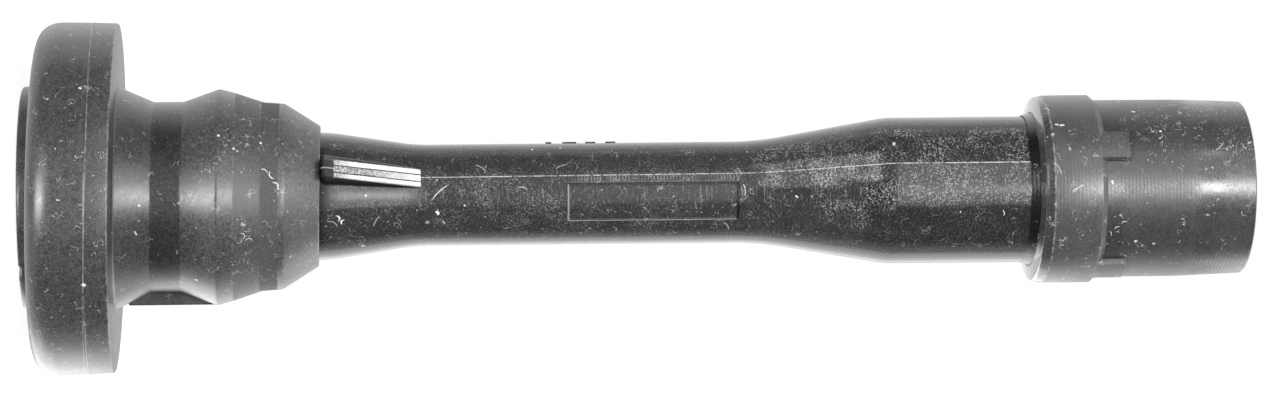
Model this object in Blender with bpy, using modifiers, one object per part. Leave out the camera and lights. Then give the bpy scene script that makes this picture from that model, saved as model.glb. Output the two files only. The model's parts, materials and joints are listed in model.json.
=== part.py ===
"""Ignition coil boot: a hard insulating tube that carries high tension from a coil to a spark plug.

A rubber flange seal grips the bell at the tube's coil end, a rubber boot grips its plug end, and a
contact spring runs down the bore. The part stands on its coil end: the origin is the centre of that
end face, +Z runs along the axis towards the spark plug, and -Y is the side with the moulded panel.
All sizes are metres. Azimuths are degrees from -Y, turning towards +X.
"""

import math

import bmesh
import bpy
from mathutils import Matrix, Vector

PART_NAME = "ignition_coil_boot"

# Facets round a turned piece. Neighbours share the number, so their facets stay parallel.
TURN_STEPS = 48
ARC_STEPS = 4
FLANGE_CORNER_STEPS = 7
SMALL_ROUND_STEPS = 2
MERGE_DISTANCE = 0.00001

# Clearances between pieces.
RUBBER_GAP = 0.0002
SPRING_GAP = 0.0003

# How far a shape that is joined to another reaches into it, and how far it stays under its skin.
JOIN_DEPTH = 0.0008
SKIN_DEPTH = 0.00005

# Hard tube, from the coil end towards the plug end. Its bell is as long as the seal that grips it.
LIP_STAND_OUT = 0.00149
LIP_SUNK = 0.0010
LIP_OVERHANG = 0.00418
LIP_ROUND = 0.0005
BELL_WALL = 0.0020
BELL_FLOOR = 0.0020
SHOULDER_LENGTH = 0.0060
COLLAR_WALL = 0.00535
COLLAR_LENGTH = 0.0032
TAPER_LENGTH = 0.0116
STEM_WALL = 0.00357
STEM_LENGTH = 0.0465
FLARE_LENGTH = 0.0176
PLUG_TUBE_WALL = 0.00338
PLUG_TUBE_LENGTH = 0.0311
TUBE_END_CHAMFER = 0.0006

# Bores of the hard tube. The stem's bore and the spring's seat follow from the spring.
COIL_SOCKET_RADIUS = 0.0090
SOCKET_CHAMFER = 0.0006
PLUG_CAVITY_RADIUS = 0.0066
PLUG_CAVITY_LENGTH = 0.0255
PLUG_CAVITY_LEAD = 0.0032

# Retaining beads that the rubber pieces snap over.
BEAD_HEIGHT = 0.0007
BEAD_WIDTH = 0.0024
BOOT_BEAD_FROM_TUBE_END = 0.0060

# Retaining ramp beside the seal, on the tube's parting line.
PARTING_AZIMUTH = -22.2
RAMP_HEIGHT = 0.0019
RAMP_BASE_WIDTH = 0.0043
RAMP_TOP_WIDTH = 0.0026
RAMP_END_WIDTH = 0.0029
RAMP_NOSE_ROUND = 0.0007
RAMP_NOSE_STEPS = 3

# Raised panel on the stem.
PANEL_FROM_STEM_START = 0.0203
PANEL_LENGTH = 0.02315
PANEL_START_AZIMUTH = -11.4
PANEL_END_AZIMUTH = 31.5
PANEL_HEIGHT = 0.00022
PANEL_STEPS = 6

# Rubber seal: flange, groove and stepped nose. Walls are measured from the bell that it grips.
FLANGE_RADIUS = 0.02382
FLANGE_THICKNESS = 0.01095
FLANGE_CORNER = 0.0031
FLANGE_RIM_DRAFT = 0.0002
FLANGE_RIM_ROUND = 0.0002
SEAL_CONE_WALL = 0.00385
SEAL_CONE_LENGTH = 0.00485
SEAL_NECK_WALL = 0.00173
SEAL_NECK_LENGTH = 0.0040
SEAL_RISE_LENGTH = 0.0048
SEAL_PEAK_WALL = 0.00343
SEAL_FALL_LENGTH = 0.0022
SEAL_FALL_WALL = 0.00285
SEAL_SLOPE_LENGTH = 0.0038
SEAL_STEP_WALL = 0.00157
SEAL_STEP_LENGTH = 0.0028
SEAL_STEP_DRAFT = 0.00019
SEAL_NOSE_LENGTH = 0.00485
SEAL_NOSE_WALL = 0.00063
SEAL_PAST_SHOULDER = 0.0018

# Fin that fills the seal's groove on one side.
FIN_THICKNESS = 0.0016
FIN_UNDER_PEAK = 0.0001
FIN_WALL_REACH = 0.0009

# Rubber boot that grips the spark plug, from its lip towards the plug end.
BOOT_LIP_FROM_TUBE_END = 0.0120
BOOT_LIP_WALL = 0.00025
BOOT_FILLET_LENGTH = 0.0019
BOOT_COLLAR_WALL = 0.00273
BOOT_COLLAR_ROUND = 0.0003
BOOT_COLLAR_LENGTH = 0.00765
BOOT_COLLAR_STEP = 0.00076
BOOT_COLLAR_CHAMFER = 0.0006
BOOT_BODY_STRAIGHT = 0.0112
BOOT_TAPER_LENGTH = 0.0088
BOOT_TAPER_DEPTH = 0.00035
BOOT_END_ROUND = 0.0004
BOOT_BORE_RADIUS = 0.0057
BOOT_RIB_HEIGHT = 0.0006
BOOT_RIB_WIDTH = 0.0022
BOOT_RIB_COUNT = 2
BOOT_MOUTH_FLARE = 0.0009
BOOT_MOUTH_DEPTH = 0.0014

# Tabs that continue the boot's collar towards the plug.
TAB_COUNT = 4
TAB_FIRST_AZIMUTH = -29.0
TAB_ANGLE = 17.8
TAB_LENGTH = 0.00325
TAB_STEPS = 3

# Contact spring.
WIRE_RADIUS = 0.0004
SPRING_RADIUS = 0.0026
SPRING_SEAT_RADIUS = 0.0041
SPRING_PITCH = 0.0045
SPRING_SEAT_TURNS = 2
SPRING_SEAT_PITCH = 0.0013
SPRING_TIP_TURNS = 2
SPRING_TIP_PITCH = 0.0010
SPRING_REACH_IN_CAVITY = 0.0146
POINTS_PER_TURN = 12

# Heights of the seal, which follow from its lengths.
LIP_THICKNESS = LIP_STAND_OUT + LIP_SUNK
FLANGE_END = LIP_STAND_OUT + FLANGE_THICKNESS
SEAL_NECK_START = FLANGE_END + SEAL_CONE_LENGTH
SEAL_PEAK = SEAL_NECK_START + SEAL_NECK_LENGTH + SEAL_RISE_LENGTH
SEAL_STEP_START = SEAL_PEAK + SEAL_FALL_LENGTH + SEAL_SLOPE_LENGTH
SEAL_END = SEAL_STEP_START + SEAL_STEP_LENGTH + SEAL_NOSE_LENGTH

# Heights of the tube: its shoulder lies just inside the seal's nose, and the rest follows.
SHOULDER_END = SEAL_END - SEAL_PAST_SHOULDER
BELL_END = SHOULDER_END - SHOULDER_LENGTH
COLLAR_END = SHOULDER_END + COLLAR_LENGTH
STEM_START = COLLAR_END + TAPER_LENGTH
STEM_END = STEM_START + STEM_LENGTH
FLARE_END = STEM_END + FLARE_LENGTH
TUBE_END = FLARE_END + PLUG_TUBE_LENGTH
PLUG_CAVITY_START = TUBE_END - PLUG_CAVITY_LENGTH
SOCKET_FLOOR = BELL_END - BELL_FLOOR
SPRING_SEAT_LENGTH = SPRING_SEAT_TURNS * SPRING_SEAT_PITCH + 2 * WIRE_RADIUS + SPRING_GAP
SPRING_SEAT_FLOOR = SOCKET_FLOOR + SPRING_SEAT_LENGTH

# Heights of the boot.
BOOT_START = TUBE_END - BOOT_LIP_FROM_TUBE_END
BOOT_COLLAR_START = BOOT_START + BOOT_FILLET_LENGTH
BOOT_COLLAR_END = BOOT_COLLAR_START + BOOT_COLLAR_LENGTH
BOOT_TAPER_START = BOOT_COLLAR_END + BOOT_COLLAR_CHAMFER + BOOT_BODY_STRAIGHT
BOOT_END = BOOT_TAPER_START + BOOT_TAPER_LENGTH

# Radii of the tube, each a wall round the bore inside it.
STEM_BORE_RADIUS = SPRING_RADIUS + WIRE_RADIUS + SPRING_GAP
SEAT_BORE_RADIUS = SPRING_SEAT_RADIUS + WIRE_RADIUS + SPRING_GAP
BELL_RADIUS = COIL_SOCKET_RADIUS + BELL_WALL
LIP_RADIUS = BELL_RADIUS + LIP_OVERHANG
COLLAR_RADIUS = STEM_BORE_RADIUS + COLLAR_WALL
STEM_RADIUS = STEM_BORE_RADIUS + STEM_WALL
PLUG_TUBE_RADIUS = PLUG_CAVITY_RADIUS + PLUG_TUBE_WALL

# Radii of the rubber pieces, each a wall round the tube inside it.
SEAL_BORE_RADIUS = BELL_RADIUS + RUBBER_GAP
SEAL_CONE_RADIUS = SEAL_BORE_RADIUS + SEAL_CONE_WALL
SEAL_NECK_RADIUS = SEAL_BORE_RADIUS + SEAL_NECK_WALL
SEAL_PEAK_RADIUS = SEAL_BORE_RADIUS + SEAL_PEAK_WALL
SEAL_FALL_RADIUS = SEAL_BORE_RADIUS + SEAL_FALL_WALL
SEAL_STEP_RADIUS = SEAL_BORE_RADIUS + SEAL_STEP_WALL
SEAL_NOSE_RADIUS = COLLAR_RADIUS + RUBBER_GAP + SEAL_NOSE_WALL
BOOT_SOCKET_RADIUS = PLUG_TUBE_RADIUS + RUBBER_GAP
BOOT_COLLAR_RADIUS = BOOT_SOCKET_RADIUS + BOOT_COLLAR_WALL
BOOT_BODY_RADIUS = BOOT_COLLAR_RADIUS - BOOT_COLLAR_STEP
BOOT_END_RADIUS = BOOT_BODY_RADIUS - BOOT_TAPER_DEPTH


def arc(centre, radii, start, end, steps=ARC_STEPS):
    """Points (radius, height) along an arc, with angles in degrees from outwards towards +Z."""
    points = []
    for step in range(steps + 1):
        angle = math.radians(start + (end - start) * step / steps)
        radius = centre[0] + radii[0] * math.cos(angle)
        height = centre[1] + radii[1] * math.sin(angle)
        points.append((radius, height))
    return points


def bead(radius, height):
    """A rounded retaining ridge on a cylinder, as points going up."""
    centre = (radius, height)
    return arc(centre, (BEAD_HEIGHT, BEAD_WIDTH / 2), -90, 90)


def tube_outside():
    """Outer side of the hard tube, as (radius, height) from the coil end to the plug end."""
    lip_centre = (LIP_RADIUS - LIP_ROUND, LIP_ROUND)
    points = arc(lip_centre, (LIP_ROUND, LIP_ROUND), -90, 0)
    points.append((LIP_RADIUS, LIP_THICKNESS))
    points.append((BELL_RADIUS, LIP_THICKNESS))
    points += bead(BELL_RADIUS, SEAL_PEAK)
    points.append((BELL_RADIUS, BELL_END))
    points.append((COLLAR_RADIUS, SHOULDER_END))
    points.append((COLLAR_RADIUS, COLLAR_END))
    points.append((STEM_RADIUS, STEM_START))
    points.append((STEM_RADIUS, STEM_END))
    points.append((PLUG_TUBE_RADIUS, FLARE_END))
    points += bead(PLUG_TUBE_RADIUS, TUBE_END - BOOT_BEAD_FROM_TUBE_END)
    points.append((PLUG_TUBE_RADIUS, TUBE_END - TUBE_END_CHAMFER))
    points.append((PLUG_TUBE_RADIUS - TUBE_END_CHAMFER, TUBE_END))
    return points


def tube_inside():
    """Bores of the hard tube, as (radius, height) from the coil socket up to the plug cavity."""
    return [
        (COIL_SOCKET_RADIUS + SOCKET_CHAMFER, 0),
        (COIL_SOCKET_RADIUS, SOCKET_CHAMFER),
        (COIL_SOCKET_RADIUS, SOCKET_FLOOR),
        (SEAT_BORE_RADIUS, SOCKET_FLOOR),
        (SEAT_BORE_RADIUS, SPRING_SEAT_FLOOR),
        (STEM_BORE_RADIUS, SPRING_SEAT_FLOOR),
        (STEM_BORE_RADIUS, PLUG_CAVITY_START - PLUG_CAVITY_LEAD),
        (PLUG_CAVITY_RADIUS, PLUG_CAVITY_START),
        (PLUG_CAVITY_RADIUS, TUBE_END - TUBE_END_CHAMFER),
        (PLUG_CAVITY_RADIUS + TUBE_END_CHAMFER, TUBE_END),
    ]


def radius_at(outline, height):
    """Radius of an outline that goes up, at one height."""
    for (low_radius, low), (high_radius, high) in zip(outline, outline[1:]):
        if low <= height <= high and high > low:
            return low_radius + (high_radius - low_radius) * (height - low) / (high - low)
    return outline[-1][0] if height > outline[-1][1] else outline[0][0]


def grip_round_tube(start, end):
    """Bore of a rubber piece on the tube from one height to the other, RUBBER_GAP off its skin."""
    outline = tube_outside()
    points = [(radius_at(outline, start) + RUBBER_GAP, start)]
    points += [(radius + RUBBER_GAP, height) for radius, height in outline if start < height < end]
    points.append((radius_at(outline, end) + RUBBER_GAP, end))
    return points


def seal_outside():
    """Outer side of the seal, as (radius, height) from the coil end up to its nose."""
    rim_radius = FLANGE_RADIUS - FLANGE_RIM_DRAFT
    corner = (FLANGE_RADIUS - FLANGE_CORNER, LIP_STAND_OUT + FLANGE_CORNER)
    rim = (rim_radius - FLANGE_RIM_ROUND, FLANGE_END - FLANGE_RIM_ROUND)
    points = arc(corner, (FLANGE_CORNER, FLANGE_CORNER), -90, 0, FLANGE_CORNER_STEPS)
    points += arc(rim, (FLANGE_RIM_ROUND, FLANGE_RIM_ROUND), 0, 90, SMALL_ROUND_STEPS)
    points.append((SEAL_CONE_RADIUS, FLANGE_END))
    points.append((SEAL_NECK_RADIUS, SEAL_NECK_START))
    points.append((SEAL_NECK_RADIUS, SEAL_NECK_START + SEAL_NECK_LENGTH))
    points.append((SEAL_PEAK_RADIUS, SEAL_PEAK))
    points.append((SEAL_FALL_RADIUS, SEAL_PEAK + SEAL_FALL_LENGTH))
    points.append((SEAL_STEP_RADIUS, SEAL_STEP_START))
    points.append((SEAL_STEP_RADIUS - SEAL_STEP_DRAFT, SEAL_STEP_START + SEAL_STEP_LENGTH))
    points.append((SEAL_NOSE_RADIUS, SEAL_END))
    return points


def seal_inside():
    """Inner side of the seal: a recess round the tube's lip, then the grip, as points going up."""
    recess_radius = LIP_RADIUS + RUBBER_GAP
    recess_floor = LIP_THICKNESS + RUBBER_GAP
    recess = [(recess_radius, LIP_STAND_OUT), (recess_radius, recess_floor)]
    return recess + grip_round_tube(recess_floor, SEAL_END)


def boot_outside():
    """Outer side of the plug boot, as (radius, height) from its lip to the plug end."""
    lip_radius = BOOT_SOCKET_RADIUS + BOOT_LIP_WALL
    crest = BOOT_COLLAR_RADIUS - BOOT_COLLAR_ROUND
    fillet_radii = (crest - lip_radius, BOOT_FILLET_LENGTH)
    round_radii = (BOOT_COLLAR_ROUND, BOOT_COLLAR_ROUND)
    end_centre = (BOOT_END_RADIUS - BOOT_END_ROUND, BOOT_END - BOOT_END_ROUND)
    points = arc((crest, BOOT_START), fillet_radii, 180, 90)
    shoulder = (crest, BOOT_COLLAR_START + BOOT_COLLAR_ROUND)
    points += arc(shoulder, round_radii, -90, 0, SMALL_ROUND_STEPS)[1:]
    points.append((BOOT_COLLAR_RADIUS, BOOT_COLLAR_END))
    points.append((BOOT_BODY_RADIUS, BOOT_COLLAR_END + BOOT_COLLAR_CHAMFER))
    points.append((BOOT_BODY_RADIUS, BOOT_TAPER_START))
    points += arc(end_centre, (BOOT_END_ROUND, BOOT_END_ROUND), 0, 90, SMALL_ROUND_STEPS)
    return points


def boot_inside():
    """Inner side of the plug boot, going up: the grip on the tube, the ribs and the mouth."""
    floor = TUBE_END + RUBBER_GAP
    mouth = BOOT_END - BOOT_MOUTH_DEPTH
    points = grip_round_tube(BOOT_START, TUBE_END - TUBE_END_CHAMFER)
    points += [(BOOT_SOCKET_RADIUS, floor), (BOOT_BORE_RADIUS, floor)]
    for number in range(BOOT_RIB_COUNT):
        centre = (BOOT_BORE_RADIUS, floor + (mouth - floor) * (number + 1) / (BOOT_RIB_COUNT + 1))
        points += arc(centre, (BOOT_RIB_HEIGHT, BOOT_RIB_WIDTH / 2), 270, 90)
    points.append((BOOT_BORE_RADIUS, mouth))
    points.append((BOOT_BORE_RADIUS + BOOT_MOUTH_FLARE, BOOT_END))
    return points


def spring_path():
    """Centre line of the contact spring: wide seat turns, open turns, then closed turns at the tip."""
    base = SOCKET_FLOOR + WIRE_RADIUS
    tip = PLUG_CAVITY_START + SPRING_REACH_IN_CAVITY
    seat_rise = SPRING_SEAT_TURNS * SPRING_SEAT_PITCH
    open_rise = tip - base - seat_rise - SPRING_TIP_TURNS * SPRING_TIP_PITCH
    open_turns = round(open_rise / SPRING_PITCH)
    total_turns = SPRING_SEAT_TURNS + open_turns + SPRING_TIP_TURNS
    points = []
    for step in range(total_turns * POINTS_PER_TURN + 1):
        turns = step / POINTS_PER_TURN
        seat = min(turns, SPRING_SEAT_TURNS)
        middle = min(max(turns - SPRING_SEAT_TURNS, 0), open_turns)
        end = max(turns - SPRING_SEAT_TURNS - open_turns, 0)
        height = base + seat * SPRING_SEAT_PITCH + middle * open_rise / open_turns
        height += end * SPRING_TIP_PITCH
        narrowing = min(max(turns - (SPRING_SEAT_TURNS - 1), 0), 1)
        radius = SPRING_SEAT_RADIUS + (SPRING_RADIUS - SPRING_SEAT_RADIUS) * narrowing
        angle = math.tau * turns
        points.append((radius * math.cos(angle), radius * math.sin(angle), height))
    return points


def azimuth_direction(azimuth):
    """Unit vector at an azimuth, square to the axis."""
    angle = math.radians(azimuth)
    return Vector((math.sin(angle), -math.cos(angle), 0))


def principled(name, colour, roughness, metallic=0.0):
    """A material with one Principled shader."""
    material = bpy.data.materials.new(name)
    material.use_nodes = True
    shader = material.node_tree.nodes["Principled BSDF"]
    shader.inputs["Base Color"].default_value = (*colour, 1)
    shader.inputs["Roughness"].default_value = roughness
    shader.inputs["Metallic"].default_value = metallic
    return material


def mesh_object(name, bm, collection):
    """Turns a bmesh into an object in the collection."""
    mesh = bpy.data.meshes.new(name)
    bm.to_mesh(mesh)
    bm.free()
    obj = bpy.data.objects.new(name, mesh)
    collection.objects.link(obj)
    return obj


def turned(name, outside, inside, collection):
    """A turned ring: both outlines go up, and the closed section is swept round Z."""
    section = list(reversed(outside)) + inside
    bm = bmesh.new()
    corners = [bm.verts.new((radius, 0, height)) for radius, height in section]
    for first, second in zip(corners, corners[1:] + corners[:1]):
        bm.edges.new((first, second))
    obj = mesh_object(name, bm, collection)
    screw = obj.modifiers.new("turn", "SCREW")
    screw.steps = TURN_STEPS
    screw.render_steps = TURN_STEPS
    screw.use_merge_vertices = True
    screw.merge_threshold = MERGE_DISTANCE
    return obj


def arc_block(bm, radii, heights, azimuths, steps):
    """Adds a block between two radii, two heights and two azimuths to a bmesh."""
    size = (radii[1] - radii[0], heights[1] - heights[0])
    centre = (sum(radii) / 2, 0, sum(heights) / 2)
    stand_up = Matrix.Rotation(math.radians(90), 4, "X")
    to_start = Matrix.Rotation(math.radians(azimuths[0] - 90), 4, "Z")
    place = to_start @ Matrix.Translation(centre) @ stand_up @ Matrix.Diagonal((*size, 1, 1))
    made = bmesh.ops.create_grid(bm, x_segments=1, y_segments=1, size=0.5, matrix=place)
    corners = made["verts"]
    faces = list({face for corner in corners for face in corner.link_faces})
    edges = list({edge for corner in corners for edge in corner.link_edges})
    turn = math.radians(azimuths[1] - azimuths[0])
    bmesh.ops.spin(bm, geom=corners + edges + faces, axis=(0, 0, 1), angle=turn, steps=steps)


def closed_helper(name, bm, collection):
    """A closed shape that only serves another: its faces point out, and no render shows it."""
    bmesh.ops.remove_doubles(bm, verts=bm.verts, dist=MERGE_DISTANCE)
    bmesh.ops.recalc_face_normals(bm, faces=bm.faces)
    obj = mesh_object(name, bm, collection)
    obj.hide_render = True
    obj.display_type = "WIRE"
    return obj


def panel_block(collection):
    """The raised rectangle on the stem."""
    bm = bmesh.new()
    start = STEM_START + PANEL_FROM_STEM_START
    radii = (STEM_RADIUS - JOIN_DEPTH, STEM_RADIUS + PANEL_HEIGHT)
    azimuths = (PANEL_START_AZIMUTH, PANEL_END_AZIMUTH)
    arc_block(bm, radii, (start, start + PANEL_LENGTH), azimuths, PANEL_STEPS)
    return closed_helper("panel_block", bm, collection)


def ramp_block(collection):
    """The retaining ramp: highest beside the seal, and down to the stem where the taper ends."""
    start = SEAL_END + RUBBER_GAP
    skin = radius_at(tube_outside(), start)
    bm = bmesh.new()
    bmesh.ops.create_cube(bm, size=2)
    across = azimuth_direction(PARTING_AZIMUTH + 90)
    outwards = azimuth_direction(PARTING_AZIMUTH)
    for corner in bm.verts:
        side, top, far = corner.co.x, corner.co.y > 0, corner.co.z > 0
        width = RAMP_TOP_WIDTH if top else RAMP_BASE_WIDTH
        radius = skin + RAMP_HEIGHT if top else STEM_RADIUS - JOIN_DEPTH
        if far:
            width = RAMP_END_WIDTH
            radius = STEM_RADIUS - SKIN_DEPTH if top else STEM_RADIUS - JOIN_DEPTH
        place = outwards * radius + across * (side * width / 2)
        corner.co = (place.x, place.y, STEM_START if far else start)
    obj = closed_helper("ramp_block", bm, collection)
    nose = obj.data.attributes.new("bevel_weight_edge", "FLOAT", "EDGE")
    for edge in obj.data.edges:
        ends = [obj.data.vertices[index].co for index in edge.vertices]
        at_nose = all(end.z < STEM_START and end.xy.length > skin for end in ends)
        nose.data[edge.index].value = float(at_nose)
    bevel = obj.modifiers.new("nose", "BEVEL")
    bevel.limit_method = "WEIGHT"
    bevel.width = RAMP_NOSE_ROUND
    bevel.segments = RAMP_NOSE_STEPS
    return obj


def fin_block(collection):
    """The fin across the seal's groove, its edge just under the seal's peak."""
    outer = SEAL_PEAK_RADIUS - FIN_UNDER_PEAK
    inner = SEAL_NECK_RADIUS - FIN_WALL_REACH
    cone_slope = (SEAL_CONE_RADIUS - SEAL_NECK_RADIUS) / SEAL_CONE_LENGTH
    low = FLANGE_END + (SEAL_CONE_RADIUS - outer) / cone_slope / 2
    size = (outer - inner, FIN_THICKNESS, SEAL_PEAK - low)
    place = Matrix.Translation(((outer + inner) / 2, 0, (SEAL_PEAK + low) / 2))
    bm = bmesh.new()
    bmesh.ops.create_cube(bm, size=1, matrix=place @ Matrix.Diagonal((*size, 1)))
    return closed_helper("fin_block", bm, collection)


def tab_blocks(collection):
    """The tabs on the plug side of the boot's collar."""
    radii = (BOOT_BODY_RADIUS - JOIN_DEPTH, BOOT_COLLAR_RADIUS - SKIN_DEPTH)
    heights = (BOOT_COLLAR_END - JOIN_DEPTH, BOOT_COLLAR_END + TAB_LENGTH)
    bm = bmesh.new()
    for number in range(TAB_COUNT):
        middle = TAB_FIRST_AZIMUTH + number * 360 / TAB_COUNT
        azimuths = (middle - TAB_ANGLE / 2, middle + TAB_ANGLE / 2)
        arc_block(bm, radii, heights, azimuths, TAB_STEPS)
    return closed_helper("tab_blocks", bm, collection)


def join(obj, *blocks):
    """Unites an object with the blocks that belong to it."""
    for block in blocks:
        union = obj.modifiers.new(block.name, "BOOLEAN")
        union.operation = "UNION"
        union.object = block


def finish(obj, material):
    """Gives an object its material and shades its round faces smooth."""
    obj.data.materials.append(material)
    smooth = obj.modifiers.get("turn")
    if smooth:
        smooth.use_smooth_shade = True


def housing_tube(parts, helpers):
    """The hard tube with its ramp and panel."""
    obj = turned("housing_tube", tube_outside(), tube_inside(), parts)
    join(obj, ramp_block(helpers), panel_block(helpers))
    finish(obj, principled("glossy black plastic", (0.028, 0.028, 0.028), 0.28))
    return obj


def coil_seal(parts, helpers):
    """The flange seal at the coil end."""
    obj = turned("coil_seal", seal_outside(), seal_inside(), parts)
    join(obj, fin_block(helpers))
    finish(obj, principled("seal rubber", (0.085, 0.085, 0.085), 0.62))
    return obj


def plug_boot(parts, helpers):
    """The boot at the plug end."""
    obj = turned("plug_boot", boot_outside(), boot_inside(), parts)
    join(obj, tab_blocks(helpers))
    finish(obj, principled("boot rubber", (0.095, 0.095, 0.095), 0.5))
    return obj


def contact_spring(parts):
    """The coiled wire between the coil's tower and the plug's terminal."""
    curve = bpy.data.curves.new("contact_spring", "CURVE")
    curve.dimensions = "3D"
    curve.bevel_depth = WIRE_RADIUS
    curve.bevel_resolution = 2
    curve.use_fill_caps = True
    points = spring_path()
    wire = curve.splines.new("POLY")
    wire.points.add(len(points) - 1)
    for place, target in zip(points, wire.points):
        target.co = (*place, 1)
    obj = bpy.data.objects.new("contact_spring", curve)
    parts.objects.link(obj)
    finish(obj, principled("spring steel", (0.55, 0.55, 0.55), 0.3, metallic=1.0))
    return obj


def new_collection(name):
    """A collection linked to the scene."""
    collection = bpy.data.collections.new(name)
    bpy.context.scene.collection.children.link(collection)
    return collection


def main():
    """Clears the scene and builds the part."""
    for obj in list(bpy.data.objects):
        bpy.data.objects.remove(obj)
    parts = new_collection(PART_NAME)
    helpers = new_collection("helpers")
    housing_tube(parts, helpers)
    coil_seal(parts, helpers)
    plug_boot(parts, helpers)
    contact_spring(parts)


main()
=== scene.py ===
"""Looks of an ignition coil boot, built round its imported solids.

The part stands on its coil end with its axis along +Z. The photograph shows it lying across the picture,
so the camera is rolled a quarter turn: the picture's right is +Z and its lower edge is +X. Azimuths are
degrees from -Y, the side that faces the camera, turning towards +X. Outlines are in millimetres, and
everything that reaches Blender is in metres.
"""

import json
import logging
import math
from collections.abc import Callable, Iterable, Sequence
from dataclasses import dataclass, field
from enum import Enum
from typing import Any

import bpy
from mathutils import Matrix, Vector

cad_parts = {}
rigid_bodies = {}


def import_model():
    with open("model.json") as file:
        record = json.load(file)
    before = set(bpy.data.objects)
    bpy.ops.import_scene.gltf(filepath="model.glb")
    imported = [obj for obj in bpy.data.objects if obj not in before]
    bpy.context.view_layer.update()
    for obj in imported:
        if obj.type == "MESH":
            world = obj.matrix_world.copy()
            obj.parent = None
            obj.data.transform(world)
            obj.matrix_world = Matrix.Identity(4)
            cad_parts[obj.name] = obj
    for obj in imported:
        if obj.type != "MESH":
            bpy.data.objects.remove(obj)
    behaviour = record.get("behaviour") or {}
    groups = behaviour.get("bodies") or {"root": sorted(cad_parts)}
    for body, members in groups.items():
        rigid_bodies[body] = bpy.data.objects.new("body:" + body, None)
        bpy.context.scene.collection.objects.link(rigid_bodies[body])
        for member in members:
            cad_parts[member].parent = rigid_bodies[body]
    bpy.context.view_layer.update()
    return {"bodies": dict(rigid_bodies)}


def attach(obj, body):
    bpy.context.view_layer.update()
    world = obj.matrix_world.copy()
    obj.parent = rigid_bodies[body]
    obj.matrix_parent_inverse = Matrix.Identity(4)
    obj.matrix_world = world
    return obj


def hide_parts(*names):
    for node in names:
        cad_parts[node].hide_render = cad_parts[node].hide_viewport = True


MM = 0.001
MERGE_DISTANCE = 0.002 * MM
TOLERANCE = 0.02  # millimetres
AZIMUTH_TOLERANCE = 0.2  # degrees
WHITE = (1.0, 1.0, 1.0, 1.0)
WEAR_COLOUR = 0.75
WATTS_PER_RADIANCE = 4.0

Place = Sequence[float]
Pair = tuple[float, float]
Outline = Sequence[Pair]
Settings = dict[str, Any]
Inputs = dict[Any, Any]

# Sizes that a shape shares with its material, in millimetres and degrees.
ALL_ROUND: Pair = (-181.0, 181.0)
PARTING_AZIMUTH = -21.6
PARTING_TURN = 1.5
RAMP_START = 39.94
RAMP_END = 53.3
FLUTE_PLACES: Pair = (-0.46, 0.56)
SEAL_LEAN = 0.021
TAB_AZIMUTH = -27.7
TAB_COUNT = 4
TAB_HIGH = 148.8

log = logging.getLogger("coil_boot")


class Slot(Enum):
    """The record's material slots."""

    TUBE = "tube_plastic"
    SEAL = "seal_rubber"
    BOOT = "boot_rubber"
    SPRING = "spring_steel"


def direction(azimuth: float) -> Vector:
    """Unit vector at an azimuth, square to the part's axis.

    Args:
        azimuth: Degrees from -Y, turning towards +X.

    Returns:
        The vector, with no height.
    """
    angle = math.radians(azimuth)
    return Vector((math.sin(angle), -math.cos(angle), 0.0))


def azimuth_of(place: Vector) -> float:
    """Azimuth of a place in degrees, from -180 to 180."""
    return math.degrees(math.atan2(place.x, -place.y))


@dataclass(frozen=True)
class Corner:
    """One corner of a turned outline, in millimetres, and how far its rounding reaches from it."""

    radius: float
    height: float
    reach: float = 0.0
    steps: int = 4


@dataclass(frozen=True)
class Sweep:
    """One stretch of a turned shape: how far it turns, in degrees, and in how many steps."""

    degrees: float
    steps: int


def rounded(corners: Sequence[Corner]) -> list[Pair]:
    """Rounds the corners of a closed outline.

    Args:
        corners: The outline's corners, in order.

    Returns:
        Points (radius, height) in metres.
    """
    points: list[Pair] = []
    for index, corner in enumerate(corners):
        here = Vector((corner.radius, corner.height))
        if corner.reach <= 0:
            points.append((here.x * MM, here.y * MM))
            continue
        before = corners[index - 1]
        after = corners[(index + 1) % len(corners)]
        back = Vector((before.radius, before.height)) - here
        on = Vector((after.radius, after.height)) - here
        start = here + back.normalized() * min(corner.reach, back.length * 0.49)
        end = here + on.normalized() * min(corner.reach, on.length * 0.49)
        for step in range(corner.steps + 1):
            share = step / corner.steps
            place = start * (1 - share) ** 2 + here * 2 * share * (1 - share) + end * share**2
            points.append((place.x * MM, place.y * MM))
    return points


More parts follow.
